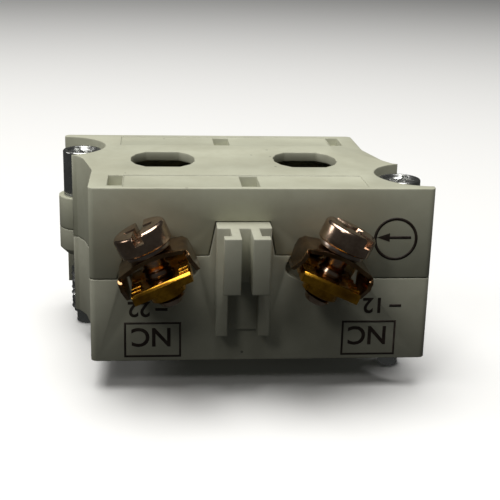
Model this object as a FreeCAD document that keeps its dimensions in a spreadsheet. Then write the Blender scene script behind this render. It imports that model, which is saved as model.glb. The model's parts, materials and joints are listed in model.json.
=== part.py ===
import FreeCAD, Part
import math
import os
import re
import Sketcher
from FreeCAD import Placement, Rotation, Vector

# Stackable two-pole contact block of an industrial push button, mounting face down.
# Frame: origin at the centre of the mounting face, +Z to the rear, front terminals towards -Y.
# The block is the same after half a turn about Z, so many pieces are turned copies.

doc = FreeCAD.newDocument("contact_block")
sheet = doc.addObject("Spreadsheet::Sheet", "sizes")

SIZES = [
    ("overlap", 0.2, "how far joined pieces run into each other, and cuts past a face"),
    # housing
    ("housing_width", 42.0, "width of the front face"),
    ("housing_depth", 32.4, "front face to back face"),
    ("housing_height", 22.0, "mounting face to rear face"),
    ("split_height", 10.6, "height of the joint between base and cover"),
    ("split_gap", 0.12, "shadow gap between the two halves"),
    ("face_shift", 2.5, "sideways shift of the front face, opposite to the back face"),
    ("end_wall", 2.4, "thickness of the front and back walls"),
    ("floor_wall", 2.0, "thickness of the base's floor"),
    ("roof_wall", 1.2, "thickness of the cover's rear wall"),
    ("flank_start", 6.5, "where the straight part of the flank ends, from the centre line"),
    ("flank_step", 1.5, "first sideways step of the flank"),
    ("flank_nose", 2.55, "sideways step of the flank at the screw recess"),
    ("flank_middle", 0.2, "depth position of the middle of the flank's bend"),
    ("flank_end", 2.1, "depth position where the flank meets the screw recess"),
    ("flank_rise", 1.0, "depth step of the flank in the screw recess"),
    ("flank_round", 4.0, "radius of the flank's bends"),
    ("corner_round", 0.8, "radius of the housing's upright corners"),
    # screw recess and ears
    ("ear_inset", 0.4, "screw axis, in from half the width of the housing"),
    ("ear_along", 8.4, "screw axis from the middle, front to back"),
    ("ear_radius", 3.4, "radius of the screw ear"),
    ("ear_bottom", 6.7, "underside of the ear"),
    ("ear_top", 15.1, "top of the ear, where the screw is seated"),
    ("ear_bevel", 0.9, "bevel under the ear"),
    ("ear_root", 0.8, "how far the ear's root runs into the block"),
    ("recess_shift", 3.2, "recess centre, outwards from the screw axis"),
    ("recess_radius", 6.4, "radius of the recess round the screw head"),
    # poles
    ("pole_across", 9.5, "plunger axis from the middle"),
    ("chamber_width", 9.6, "width of a pole's chamber"),
    ("middle_chamber_width", 6.6, "width of the chamber between the poles"),
    ("middle_chamber_inset", 0.8, "extra wall at the ends of the middle chamber"),
    # nose of the plunger and its guide
    ("nose_width", 7.6, "plunger nose, across"),
    ("nose_length", 8.4, "plunger nose, front to back"),
    ("nose_reach", 3.6, "how far the nose stands out below the mounting face"),
    ("nose_bevel", 2.2, "corner bevel of the nose"),
    ("nose_clearance", 0.15, "clearance round the nose in its guide"),
    ("collar_wall", 0.45, "wall of the nose's guide collar, across the pole"),
    ("collar_height", 2.4, "height of the guide collar over the floor"),
    # rear openings
    ("rear_hole_width", 8.4, "rear opening, across"),
    ("rear_hole_length", 9.15, "rear opening, front to back"),
    ("rear_hole_flat", 4.4, "straight stretch at the front and back of the rear opening"),
    ("rear_hole_side", 2.4, "straight stretch at the sides of the rear opening"),
    ("rear_hole_shoulder_across", 3.55, "half width at the shoulders of the rear opening"),
    ("rear_hole_shoulder_along", 3.1, "half length at the shoulders of the rear opening"),
    ("spring_ledge_drop", 2.6, "ledges that the return spring pushes on, below the roof"),
    ("spring_ledge_length", 5.0, "length of a spring ledge, front to back"),
    ("middle_roof", 3.0, "thickness of the roof over the middle chamber"),
    ("head_radius", 3.9, "rear end of the plunger"),
    ("head_gap", 3.6, "rear end of the plunger below the rear face"),
    ("shoulder_radius", 4.5, "spring shoulder of the plunger"),
    ("shoulder_bottom", 10.2, "underside of the shoulder"),
    ("shoulder_thickness", 1.1, "thickness of the shoulder"),
    ("post_width", 1.2, "upright posts at the sides of the bridge window"),
    ("post_length", 6.0, "posts, front to back"),
    # contacts
    ("tongue_bottom", 4.2, "underside of the fixed contact tongue"),
    ("strip_thickness", 0.8, "thickness of the inner contact strip"),
    ("strip_width", 4.0, "width of the inner contact strip"),
    ("tongue_end", 6.2, "inner end of the tongue from the pole's axis"),
    ("leg_place", 11.6, "inner side of the upright leg from the pole's axis"),
    ("tip_place", 7.5, "contact tips from the pole's axis"),
    ("tip_radius", 1.3, "radius of the contact tips"),
    ("tip_thickness", 0.6, "thickness of the contact tips"),
    ("bridge_play", 0.3, "play of the bridge in its window"),
    ("post_gap", 0.25, "gap between the bridge and the posts beside it"),
    ("spring_boss_radius", 0.9, "boss on the bridge that centres the contact spring"),
    ("spring_boss_height", 0.8, "height of that boss"),
    ("seat_margin", 0.6, "seat of the contact strip, beyond the strip"),
    ("bridge_width", 4.4, "width of the contact bridge"),
    ("bridge_length", 17.6, "length of the contact bridge"),
    ("bridge_thickness", 0.7, "thickness of the contact bridge"),
    ("contact_spring_radius", 1.5, "mean radius of the contact spring"),
    ("contact_spring_wire", 0.4, "wire of the contact spring"),
    ("contact_spring_turns", 4.0, "turns of the contact spring"),
    ("return_spring_radius", 4.28, "mean radius of the return spring"),
    ("return_spring_wire", 0.4, "wire of the return spring"),
    ("return_spring_turns", 5.0, "turns of the return spring"),
    # terminals
    ("terminal_across", 9.75, "screw axis of a terminal from the middle, across"),
    ("terminal_height", 12.1, "height of the terminal plate at its middle"),
    ("terminal_reach", 4.1, "screw axis from the end wall"),
    ("terminal_tilt", 24.5, "tilt of the terminal, outer end down, in degrees"),
    ("plate_width", 7.3, "width of the terminal plate"),
    ("plate_thickness", 1.2, "thickness of the terminal plate"),
    ("plate_overhang", 3.8, "plate beyond the screw axis"),
    ("plate_fit", 0.06, "clearance round the plate's neck in the wall"),
    ("tap_radius", 2.25, "drawn collar under the plate"),
    ("tap_depth", 1.4, "depth of the drawn collar"),
    ("clamp_screw_radius", 1.75, "thread of the clamp screw"),
    ("clamp_screw_fit", 0.06, "clearance of the screw in plate and saddle"),
    ("clamp_head_radius", 3.25, "head of the clamp screw"),
    ("clamp_head_height", 2.5, "height of the clamp screw's head"),
    ("clamp_head_bevel", 0.5, "bevel round the top of the clamp screw's head"),
    ("screw_point", 0.4, "bevel at a screw's point"),
    ("clamp_screw_below", 3.2, "end of the clamp screw below the plate's middle"),
    ("saddle_gap", 2.1, "open height between plate and saddle"),
    ("saddle_side_gap", 0.15, "gap between the plate's side and the saddle's lip"),
    ("saddle_length", 6.4, "saddle, along the wire"),
    ("saddle_thickness", 0.7, "sheet of the saddle"),
    ("saddle_arch", 0.3, "rise of the saddle's arched top"),
    ("saddle_bend", 0.5, "bevel that stands for the saddle's outer bends"),
    ("saddle_inner_bend", 0.2, "bevel in the saddle's inner bends"),
    ("lip_length", 3.8, "lips of the saddle, below its corners"),
    ("lip_flare", 0.2, "how far the lips lean outwards"),
    ("lip_point", 1.1, "length of the lips' sharpened ends"),
    ("lip_land", 0.25, "outer bevel of the lips' points"),
    ("spring_washer_radius", 2.75, "spring washer under the clamp screw's head"),
    ("spring_washer_thickness", 0.6, "thickness of the spring washer"),
    ("spring_washer_slit", 0.5, "width of the washer's split"),
    ("pocket_side", 0.45, "recess in the wall behind the terminal, beside the plate"),
    ("pocket_above", 2.3, "recess above the plate's middle"),
    ("pocket_below", 2.6, "recess below the plate's middle"),
    ("pocket_depth", 1.1, "depth of the recess"),
    ("pocket_round", 1.2, "corner radius of the recess"),
    # the base's raised wall and rail
    ("rise_outer", 15.1, "foot of the raised wall, from the middle"),
    ("rise_inner", 14.2, "top corner of the raised wall, from the middle"),
    ("rise_height", 13.6, "top of the raised wall"),
    ("tab_foot", 4.0, "half width of the tab at its foot"),
    ("tab_half", 3.2, "half width of the tab at its top"),
    ("tab_top", 17.85, "top of the tab"),
    ("rail_half", 3.25, "half width of the rail's back plate"),
    ("rail_plate", 2.7, "back plate, proud of the wall"),
    ("rail_foot", 4.2, "lower end of the rail's ribs"),
    ("rail_bottom", 11.1, "lower end of the rail's flanges"),
    ("rail_rib", 1.4, "width of the ribs under the rail"),
    ("rail_rib_base", 0.4, "wall left between the ribs, proud of the face"),
    ("rail_channel", 1.35, "open channel between the webs"),
    ("rail_web", 1.05, "thickness of a web"),
    ("rail_reach", 7.3, "front of the flanges from the wall"),
    ("rail_flange", 1.4, "thickness of a flange"),
    ("rail_flange_width", 2.0, "width of a flange"),
    # openings in the rear face
    ("slot_near", 9.4, "inner end of the rear slots from the centre line"),
    ("slot_far", 14.75, "outer end of the rear slots from the centre line"),
    ("slot_depth", 1.8, "depth of the rear slots"),
    ("side_slot_outer", 16.3, "outer side of the side slot"),
    ("side_slot_inner", 14.5, "inner side of the side slot"),
    ("middle_slot_left", 0.1, "left side of the middle slot, left of the middle"),
    ("middle_slot_right", 2.15, "right side of the middle slot"),
    ("middle_slot_ledge", 0.55, "ledge inside the middle slot"),
    ("middle_slot_rim", 0.1, "wall between the middle slot's way through and the end wall"),
    ("panel_left", 14.4, "left edge of the sunk label panel"),
    ("panel_right", 15.35, "right edge of the sunk label panel"),
    ("panel_near", 9.2, "inner edge of the sunk label panel"),
    ("panel_margin", 0.9, "rim between panel and face edge"),
    ("panel_depth", 0.12, "depth of the sunk label panel"),
    # mounting screws
    ("mount_shank_radius", 1.6, "undercut shank of the mounting screw"),
    ("mount_thread_radius", 2.0, "thread of the mounting screw"),
    ("mount_thread_top", 4.5, "upper end of the thread"),
    ("mount_thread_bottom", -2.2, "lower end of the thread, where the plain point starts"),
    ("mount_point_radius", 1.3, "plain point of the screw"),
    ("mount_tip", 4.0, "tip of the screw below the mounting face"),
    ("mount_head_radius", 2.7, "head of the mounting screw"),
    ("mount_head_sink", 0.5, "head below the rear face"),
    ("mount_head_bevel", 0.25, "bevel round the top of the mounting screw's head"),
    ("mount_slot_rim", 0.35, "rim left at the ends of the mounting screw's slot"),
    ("mount_hole_fit", 0.07, "clearance of the shank in ear and washer"),
    ("mount_washer_thickness", 0.3, "washer under the mounting screw"),
    ("slot_width", 0.9, "driver slot in the screws"),
    ("driver_depth", 1.2, "depth of the driver slots"),
]

for row, (alias, value, note) in enumerate(SIZES, 1):
    sheet.set("A%d" % row, alias)
    sheet.set("B%d" % row, str(value))
    sheet.set("C%d" % row, note)
    sheet.setAlias("B%d" % row, alias)
doc.recompute()

ALIASES = {alias for alias, value, note in SIZES}
EAR_ACROSS = "(housing_width / 2 - ear_inset)"
NODES = []


def bound(text):
    """Turn 'housing_width / 2' into an expression that reads the sheet."""
    return re.sub(r"[a-z_]+", lambda m: "sizes." + m.group() if m.group() in ALIASES else m.group(), text)


def size(text):
    """The present value of the same kind of text."""
    return float(sheet.evalExpression(bound(text)))


SAME = 1e-4       # two places nearer than this are one place
NEAR_CORNER = 0.05  # an edge this near a plan position stands there
SHORT_EDGE = 0.5  # upright edges shorter than this aren't corners


def new_body(label):
    body = doc.addObject("PartDesign::Body", label)
    body.Label = label
    NODES.append(body)
    return body


def new_sketch(body, name, plane, offset="0"):
    """A sketch on one of the body's own planes, offset along the plane's normal."""
    sketch = body.newObject("Sketcher::SketchObject", name)
    support = [f for f in body.Origin.OriginFeatures if f.Role == plane][0]
    sketch.AttachmentSupport = [(support, "")]
    sketch.MapMode = "FlatFace"
    sketch.setExpression("AttachmentOffset.Base.z", bound(offset))
    return sketch


def place_point(sketch, geometry, vertex, across, up):
    for kind, text in (("DistanceX", across), ("DistanceY", up)):
        number = sketch.addConstraint(
            Sketcher.Constraint(kind, -1, 1, geometry, vertex, size(text)))
        sketch.setExpression("Constraints[%d]" % number, bound(text))


def polygon(sketch, points):
    """A closed outline whose corners are given as pairs of expressions."""
    start = sketch.GeometryCount
    spots = [Vector(size(across), size(up), 0) for across, up in points]
    count = len(points)
    for i in range(count):
        sketch.addGeometry(Part.LineSegment(spots[i], spots[(i + 1) % count]), False)
    for i in range(count):
        sketch.addConstraint(
            Sketcher.Constraint("Coincident", start + i, 2, start + (i + 1) % count, 1))
    for i, (across, up) in enumerate(points):
        place_point(sketch, start + i, 1, across, up)


def tilted_panel(sketch, hand, side, below, above, rounding):
    """A rectangle in the frame of a tilted terminal plate, with rounded corners."""
    corners = [("-" + side, "-" + below, 1, 1), (side, "-" + below, -1, 1),
               (side, above, -1, -1), ("-" + side, above, 1, -1)]
    if hand == "right":
        corners.reverse()
    centres, arcs = [], []
    for along, up, right, high in corners:
        centres.append(tilted(hand, "%s + %d * %s" % (along, right, rounding),
                              "%s + %d * %s" % (up, high, rounding)))
    middles = [Vector(size(across), size(up), 0) for across, up in centres]
    radius = size(rounding)
    normal = Vector(0, 0, 1)
    for i in range(4):
        before, here, after = middles[i - 1], middles[i], middles[(i + 1) % 4]
        first = normal.cross(before - here).normalize()
        second = (after - here).normalize().cross(normal)
        start, end = math.atan2(first.y, first.x), math.atan2(second.y, second.x)
        arcs.append(sketch.addGeometry(
            Part.ArcOfCircle(Part.Circle(here, normal, radius), start, end), False))
    for i in range(4):
        here, after = middles[i], middles[(i + 1) % 4]
        out = (after - here).normalize().cross(normal) * radius
        line = sketch.addGeometry(Part.LineSegment(here + out, after + out), False)
        sketch.addConstraint(Sketcher.Constraint("Tangent", arcs[i], 2, line, 1))
        sketch.addConstraint(Sketcher.Constraint("Tangent", line, 2, arcs[(i + 1) % 4], 1))
    for i in range(4):
        place_point(sketch, arcs[i], 3, *centres[i])
        limit = sketch.addConstraint(Sketcher.Constraint("Radius", arcs[i], radius))
        sketch.setExpression("Constraints[%d]" % limit, bound(rounding))


def rectangle(sketch, left, right, low, high):
    polygon(sketch, [(left, low), (right, low), (right, high), (left, high)])


def circle(sketch, across, up, radius):
    number = sketch.GeometryCount
    centre = Vector(size(across), size(up), 0)
    sketch.addGeometry(Part.Circle(centre, Vector(0, 0, 1), size(radius)), False)
    place_point(sketch, number, 3, across, up)
    limit = sketch.addConstraint(Sketcher.Constraint("Radius", number, size(radius)))
    sketch.setExpression("Constraints[%d]" % limit, bound(radius))


def extrude(kind, body, sketch, length, backwards=False, midplane=False):
    feature = body.newObject("PartDesign::" + kind, sketch.Name + "_" + kind.lower())
    feature.Profile = sketch
    feature.setExpression("Length", bound(length))
    feature.Reversed = backwards
    feature.Midplane = midplane
    return feature


def pad(body, sketch, length, backwards=False, midplane=False):
    return extrude("Pad", body, sketch, length, backwards, midplane)


def pocket(body, sketch, length, backwards=False, midplane=False):
    return extrude("Pocket", body, sketch, length, backwards, midplane)


def revolve(body, sketch):
    feature = body.newObject("PartDesign::Revolution", sketch.Name + "_turned")
    feature.Profile = sketch
    feature.ReferenceAxis = (sketch, ["V_Axis"])
    feature.Angle = 360
    return feature


def turn_all(body, features):
    """Repeat the features half a turn about the upright axis."""
    pattern = body.newObject("PartDesign::PolarPattern", body.Name + "_turned")
    pattern.Originals = features
    axis = [f for f in body.Origin.OriginFeatures if f.Role == "Z_Axis"][0]
    pattern.Axis = (axis, [""])
    pattern.Angle = 360
    pattern.Occurrences = 2
    body.Tip = pattern
    doc.recompute()
    return pattern


def dress(kind, body, name, amount, wanted):
    """Fillet or chamfer the edges of the body's tip that the test picks out."""
    doc.recompute()
    tip = body.Tip
    names = ["Edge%d" % (i + 1) for i, edge in enumerate(tip.Shape.Edges) if wanted(edge)]
    if not names:
        raise RuntimeError("no edge found for " + name)
    feature = body.newObject("PartDesign::" + kind, name)
    feature.Base = (tip, names)
    feature.setExpression("Radius" if kind == "Fillet" else "Size", bound(amount))
    body.Tip = feature
    doc.recompute()
    return feature


def upright_at(spots):
    """A test for upright edges that stand at one of the plan positions, or opposite."""
    def wanted(edge):
        a, b = edge.Vertexes[0].Point, edge.Vertexes[-1].Point
        if abs(a.x - b.x) > SAME or abs(a.y - b.y) > SAME or abs(a.z - b.z) < SHORT_EDGE:
            return False
        return any(math.hypot(a.x - s * x, a.y - s * y) < NEAR_CORNER for x, y in spots for s in (1, -1))
    return wanted


def half_turn(source, label):
    """The same piece on the opposite corner of the block."""
    copy = doc.addObject("Part::Feature", label)
    copy.Label = label
    copy.Shape = source.Shape.copy()
    copy.Placement = Placement(Vector(), Rotation(Vector(0, 0, 1), 180)).multiply(source.Placement)
    NODES.append(copy)
    return copy


# ---------------------------------------------------------------- housing outline
FRONT = "housing_depth / 2"
LEFT = "(housing_width / 2 - face_shift)"
RIGHT = "(housing_width / 2 + face_shift)"
FLANK = [
    ("-%s" % LEFT, "-%s" % FRONT),
    ("-%s" % LEFT, "-flank_start"),
    ("-%s - flank_step" % LEFT, "flank_middle"),
    ("-%s - flank_nose" % LEFT, "flank_end"),
    ("-%s" % RIGHT, "flank_end + flank_rise"),
    ("-%s" % RIGHT, FRONT),
]
OUTLINE = FLANK + [("-(%s)" % across, "-(%s)" % along) for across, along in FLANK]
CORNERS = [(size(across), size(along)) for across, along in FLANK]


def housing_block(body, name, bottom, height):
    """The block of one half, with the round recesses for the mounting screws."""
    plan = new_sketch(body, name + "_plan", "XY_Plane", bottom)
    polygon(plan, OUTLINE)
    pad(body, plan, height)
    dress("Fillet", body, name + "_flank", "flank_round", upright_at(CORNERS[1:3]))
    dress("Fillet", body, name + "_corner", "corner_round", upright_at([CORNERS[0], CORNERS[5]]))
    recess = new_sketch(body, name + "_recess", "XY_Plane", "%s + %s" % (bottom, height))
    circle(recess, "-(" + EAR_ACROSS + " + recess_shift)", "ear_along", "recess_radius")
    return pocket(body, recess, height)


def ear(body, name, bottom, height):
    """A round ear with a straight root that joins it to the block, and the screw's hole."""
    boss = new_sketch(body, name + "_boss", "XY_Plane", bottom)
    circle(boss, "-" + EAR_ACROSS, "ear_along", "ear_radius")
    root = new_sketch(body, name + "_root", "XY_Plane", bottom)
    rectangle(root, "-" + EAR_ACROSS, "-(" + EAR_ACROSS + " + recess_shift - recess_radius) + ear_root",
              "ear_along - ear_radius", "ear_along + ear_radius")
    hole = new_sketch(body, name + "_hole", "XY_Plane", "%s + %s" % (bottom, height))
    circle(hole, "-" + EAR_ACROSS, "ear_along", "mount_shank_radius + mount_hole_fit")
    return [pad(body, boss, height), pad(body, root, height), pocket(body, hole, height)]


def tilted(hand, along_plate, above_plate):
    """A point of the front view, given along and above a tilted terminal plate."""
    across = "terminal_across - (%s) * cos(terminal_tilt) + (%s) * sin(terminal_tilt)"
    up = "terminal_height + (%s) * sin(terminal_tilt) + (%s) * cos(terminal_tilt)"
    across = across % (along_plate, above_plate)
    return ("-(%s)" % across if hand == "left" else across, up % (along_plate, above_plate))


def terminal_openings(body, name):
    """The tilted recess behind each front terminal, and the slot for the plate's neck."""
    made = []
    for hand in ("left", "right"):
        seat = new_sketch(body, "%s_%s_pocket" % (name, hand), "XZ_Plane", FRONT)
        tilted_panel(seat, hand, "(plate_width / 2 + pocket_side)", "pocket_below", "pocket_above", "pocket_round")
        made.append(pocket(body, seat, "pocket_depth"))
        slot = new_sketch(body, "%s_%s_slot" % (name, hand), "XZ_Plane", FRONT)
        side = "(strip_width / 2 + plate_fit)"
        half = "(plate_thickness / 2 + plate_fit)"
        polygon(slot, [tilted(hand, "-" + side, "-" + half), tilted(hand, side, "-" + half),
                       tilted(hand, side, half), tilted(hand, "-" + side, half)])
        made.append(pocket(body, slot, "end_wall + overlap"))
    return made


# ---------------------------------------------------------------- base housing
# The actuator-side half: floor, plunger guides, contact seats, the raised front and back walls
# that the terminals sit in, and on each a rail that the next part of the stack hooks on.
POLE = "-pole_across"
INNER = "(housing_depth / 2 - end_wall)"
MIDDLE_INNER = "(housing_depth / 2 - end_wall - middle_chamber_inset)"
HALF_CHAMBER = "chamber_width / 2"
HALF_MIDDLE = "middle_chamber_width / 2"


def rise_outline(gap, bottom):
    """The raised wall with its slanted sides and the tab in the middle."""
    half = [("rise_outer + %s" % gap, bottom), ("rise_outer + %s" % gap, "split_height + %s" % gap),
            ("rise_inner + %s" % gap, "rise_height + %s" % gap),
            ("tab_foot + %s" % gap, "rise_height + %s" % gap),
            ("tab_half + %s" % gap, "tab_top + %s" % gap)]
    return half + [("-(%s)" % across, up) for across, up in reversed(half)]


def nose_outline(clearance):
    """The plunger nose in plan, with bevelled corners."""
    wide = "(nose_width / 2 + %s)" % clearance
    long = "(nose_length / 2 + %s)" % clearance
    corners = [(wide, long + " - nose_bevel"), (wide + " - nose_bevel", long)]
    quarter = corners + [("-(%s)" % a, b) for a, b in reversed(corners)]
    whole = quarter + [("-(%s)" % a, "-(%s)" % b) for a, b in quarter]
    return [("%s + %s" % (POLE, a), b) for a, b in whole]


def chambers(body, name, level, depth, middle_level, middle_depth):
    """The hollow for each pole, and the one between them; returns the part to repeat."""
    middle = new_sketch(body, name + "_middle", "XY_Plane", middle_level)
    rectangle(middle, "-" + HALF_MIDDLE, HALF_MIDDLE, "-" + MIDDLE_INNER, MIDDLE_INNER)
    pocket(body, middle, middle_depth)
    pole = new_sketch(body, name + "_chamber", "XY_Plane", level)
    rectangle(pole, "%s - %s" % (POLE, HALF_CHAMBER), "%s + %s" % (POLE, HALF_CHAMBER),
              "-" + INNER, INNER)
    return pocket(body, pole, depth)


base = new_body("base_housing")
repeated = [housing_block(base, "base", "0", "split_height")]

rise = new_sketch(base, "base_rise", "XZ_Plane", FRONT)
polygon(rise, rise_outline("0", "split_height - overlap"))
repeated.append(pad(base, rise, "end_wall", backwards=True))
repeated.append(chambers(base, "base", "split_height", "split_height - floor_wall",
                         "split_height", "split_height - floor_wall"))

partition = new_sketch(base, "base_partition", "XY_Plane", "split_height")
rectangle(partition, "%s + %s" % (POLE, HALF_CHAMBER), "-" + HALF_MIDDLE,
          "-" + MIDDLE_INNER, MIDDLE_INNER)
repeated.append(pad(base, partition, "split_gap"))

collar = new_sketch(base, "base_collar", "XY_Plane", "floor_wall")
polygon(collar, nose_outline("nose_clearance + collar_wall"))
repeated.append(pad(base, collar, "collar_height"))

seats = new_sketch(base, "base_seats", "XY_Plane", "floor_wall")
for near, far in (("tongue_end", INNER + " + overlap"), ("-(%s + overlap)" % INNER, "-tongue_end")):
    rectangle(seats, "%s - strip_width / 2 - seat_margin" % POLE,
              "%s + strip_width / 2 + seat_margin" % POLE, near, far)
repeated.append(pad(base, seats, "tongue_bottom - floor_wall"))

guide = new_sketch(base, "base_guide", "XY_Plane", "floor_wall + collar_height")
polygon(guide, nose_outline("nose_clearance"))
repeated.append(pocket(base, guide, "floor_wall + collar_height"))

repeated += ear(base, "base_ear", "ear_bottom", "split_height - ear_bottom")
repeated += terminal_openings(base, "base")

plate = new_sketch(base, "rail_plate_outline", "XZ_Plane", FRONT)
rectangle(plate, "-rail_half", "rail_half", "rail_foot", "tab_top")
repeated.append(pad(base, plate, "rail_plate"))
relief = new_sketch(base, "rail_relief", "XZ_Plane", FRONT + " + rail_plate")
rectangle(relief, "-(rail_half - rail_rib)", "rail_half - rail_rib", "rail_foot - overlap", "rail_bottom")
repeated.append(pocket(base, relief, "rail_plate - rail_rib_base"))
webs = new_sketch(base, "rail_webs", "XZ_Plane", FRONT + " + rail_plate")
flanges = new_sketch(base, "rail_flanges", "XZ_Plane", FRONT + " + rail_reach")
for outline, width in ((webs, "rail_web"), (flanges, "rail_flange_width")):
    inner, outer = "rail_channel / 2", "rail_channel / 2 + " + width
    rectangle(outline, inner, outer, "rail_bottom", "tab_top")
    rectangle(outline, "-(%s)" % outer, "-(%s)" % inner, "rail_bottom", "tab_top")
repeated.append(pad(base, webs, "rail_reach - rail_plate"))
repeated.append(pad(base, flanges, "rail_flange", backwards=True))
turn_all(base, repeated)


def under_ear(edge):
    level = size("ear_bottom")
    if any(abs(vertex.Z - level) > SAME for vertex in edge.Vertexes):
        return False
    curve = edge.Curve
    return isinstance(curve, Part.Circle) and abs(curve.Radius - size("ear_radius")) < SAME


dress("Chamfer", base, "base_ear_bevel", "ear_bevel", under_ear)

# ---------------------------------------------------------------- cover housing
# The rear half: roof with two openings for the noses of the next block, cut round the raised
# walls of the base, with the upper ears that the mounting screws are seated on.
COVER_BOTTOM = "split_height + split_gap"
COVER_HEIGHT = "housing_height - split_height - split_gap"
cover = new_body("cover_housing")
repeated = [housing_block(cover, "cover", COVER_BOTTOM, COVER_HEIGHT)]
repeated.append(chambers(cover, "cover", "housing_height - roof_wall",
                         "housing_height - roof_wall - split_height",
                         "housing_height - middle_roof", "housing_height - middle_roof - split_height"))
SPRING_TOP = "(housing_height - roof_wall - spring_ledge_drop)"
ledges = new_sketch(cover, "spring_ledges", "XY_Plane", SPRING_TOP)
for first, second in (("rear_hole_width / 2", "chamber_width / 2 + overlap"),
                      ("-chamber_width / 2 - overlap", "-rear_hole_width / 2")):
    rectangle(ledges, "%s + %s" % (POLE, first), "%s + %s" % (POLE, second),
              "-spring_ledge_length / 2", "spring_ledge_length / 2")
repeated.append(pad(cover, ledges, "spring_ledge_drop"))
notch = new_sketch(cover, "cover_rise", "XZ_Plane", FRONT)
polygon(notch, rise_outline("split_gap", "split_height - overlap"))
repeated.append(pocket(cover, notch, "end_wall + split_gap"))
repeated += ear(cover, "cover_ear", COVER_BOTTOM, "ear_top - split_height - split_gap")
repeated += terminal_openings(cover, "cover")

opening = new_sketch(cover, "rear_opening", "XY_Plane", "housing_height")
corners = [("rear_hole_width / 2", "rear_hole_side / 2"),
           ("rear_hole_shoulder_across", "rear_hole_shoulder_along"),
           ("rear_hole_flat / 2", "rear_hole_length / 2")]
quarter = corners + [("-(%s)" % a, b) for a, b in reversed(corners)]
polygon(opening, [("%s + %s" % (POLE, a), b) for a, b in
                  quarter + [("-(%s)" % a, "-(%s)" % b) for a, b in quarter]])
repeated.append(pocket(cover, opening, "roof_wall + overlap"))

side_slot = new_sketch(cover, "side_slot", "XY_Plane", "housing_height")
rectangle(side_slot, "-side_slot_outer", "-side_slot_inner", "-slot_far", "-slot_near")
repeated.append(pocket(cover, side_slot, "slot_depth"))
middle_slot = new_sketch(cover, "middle_slot", "XY_Plane", "housing_height")
rectangle(middle_slot, "-middle_slot_left", "middle_slot_right", "-slot_far", "-slot_near")
repeated.append(pocket(cover, middle_slot, "slot_depth"))
through = new_sketch(cover, "middle_slot_through", "XY_Plane", "housing_height")
rectangle(through, "-middle_slot_left + middle_slot_ledge", "middle_slot_right - middle_slot_ledge",
          "-%s + middle_slot_rim" % MIDDLE_INNER, "-slot_near - middle_slot_ledge")
repeated.append(pocket(cover, through, "middle_roof + overlap"))

panel = new_sketch(cover, "label_panel", "XY_Plane", "housing_height")
rectangle(panel, "-panel_left", "panel_right", "-(%s - panel_margin)" % FRONT, "-panel_near")
repeated.append(pocket(cover, panel, "panel_depth"))
turn_all(cover, repeated)

# ---------------------------------------------------------------- plunger and contact bridge
# Each plunger is one black moulding: nose, two posts beside the bridge's window, spring shoulder
# and rear end. The bridge with its two silver tips rides in the window under the contact spring.
BRIDGE_BOTTOM = "(tongue_bottom + strip_thickness + 2 * tip_thickness)"
NOSE_TOP = "(%s - bridge_play)" % BRIDGE_BOTTOM

plunger = new_body("left_plunger")
nose = new_sketch(plunger, "plunger_nose", "XY_Plane", "-nose_reach")
polygon(nose, nose_outline("0"))
pad(plunger, nose, "nose_reach + " + NOSE_TOP)
posts = new_sketch(plunger, "plunger_posts", "XY_Plane", NOSE_TOP)
post_inner = "(bridge_width / 2 + post_gap)"
for first, second in ((post_inner, post_inner + " + post_width"),
                      ("-%s - post_width" % post_inner, "-" + post_inner)):
    rectangle(posts, "%s + %s" % (POLE, first), "%s + %s" % (POLE, second),
              "-post_length / 2", "post_length / 2")
pad(plunger, posts, "shoulder_bottom - " + NOSE_TOP)
shoulder = new_sketch(plunger, "plunger_shoulder", "XY_Plane", "shoulder_bottom")
circle(shoulder, POLE, "0", "shoulder_radius")
pad(plunger, shoulder, "shoulder_thickness")
rear_end = new_sketch(plunger, "plunger_rear_end", "XY_Plane", "shoulder_bottom + shoulder_thickness")
circle(rear_end, POLE, "0", "head_radius")
pad(plunger, rear_end, "housing_height - head_gap - shoulder_bottom - shoulder_thickness")

bridge = new_body("left_contact_bridge")
bar = new_sketch(bridge, "bridge_bar", "XY_Plane", BRIDGE_BOTTOM)
rectangle(bar, "%s - bridge_width / 2" % POLE, "%s + bridge_width / 2" % POLE,
          "-bridge_length / 2", "bridge_length / 2")
pad(bridge, bar, "bridge_thickness")
boss = new_sketch(bridge, "bridge_boss", "XY_Plane", BRIDGE_BOTTOM + " + bridge_thickness")
circle(boss, POLE, "0", "spring_boss_radius")
pad(bridge, boss, "spring_boss_height")


def cylinder(name, radius, height, across, along, up):
    """A plain cylinder standing on a point that is given by expressions."""
    made = doc.addObject("Part::Cylinder", name)
    made.setExpression("Radius", bound(radius))
    made.setExpression("Height", bound(height))
    for key, text in (("x", across), ("y", along), ("z", up)):
        made.setExpression("Placement.Base." + key, bound(text))
    return made


def block(name, length, width, height, across, along, up):
    """A plain block whose lowest corner is given by expressions."""
    made = doc.addObject("Part::Box", name)
    for key, text in (("Length", length), ("Width", width), ("Height", height),
                      ("Placement.Base.x", across), ("Placement.Base.y", along),
                      ("Placement.Base.z", up)):
        made.setExpression(key, bound(text))
    return made


def cut(name, solid, tool):
    made = doc.addObject("Part::Cut", name)
    made.Base = solid
    made.Tool = tool
    return made


def fuse(name, solids):
    made = doc.addObject("Part::MultiFuse", name)
    made.Shapes = solids
    return made


def node(made, label):
    made.Label = label
    NODES.append(made)
    return made


bridge_tips = doc.addObject("Part::Compound", "left_bridge_tips")
bridge_tips.Links = [
    cylinder("bridge_tip_%s" % end, "tip_radius", "tip_thickness", POLE, sign + "tip_place",
             "%s - tip_thickness" % BRIDGE_BOTTOM) for end, sign in (("front", "-"), ("back", ""))]
node(bridge_tips, "left_bridge_tips")


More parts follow.
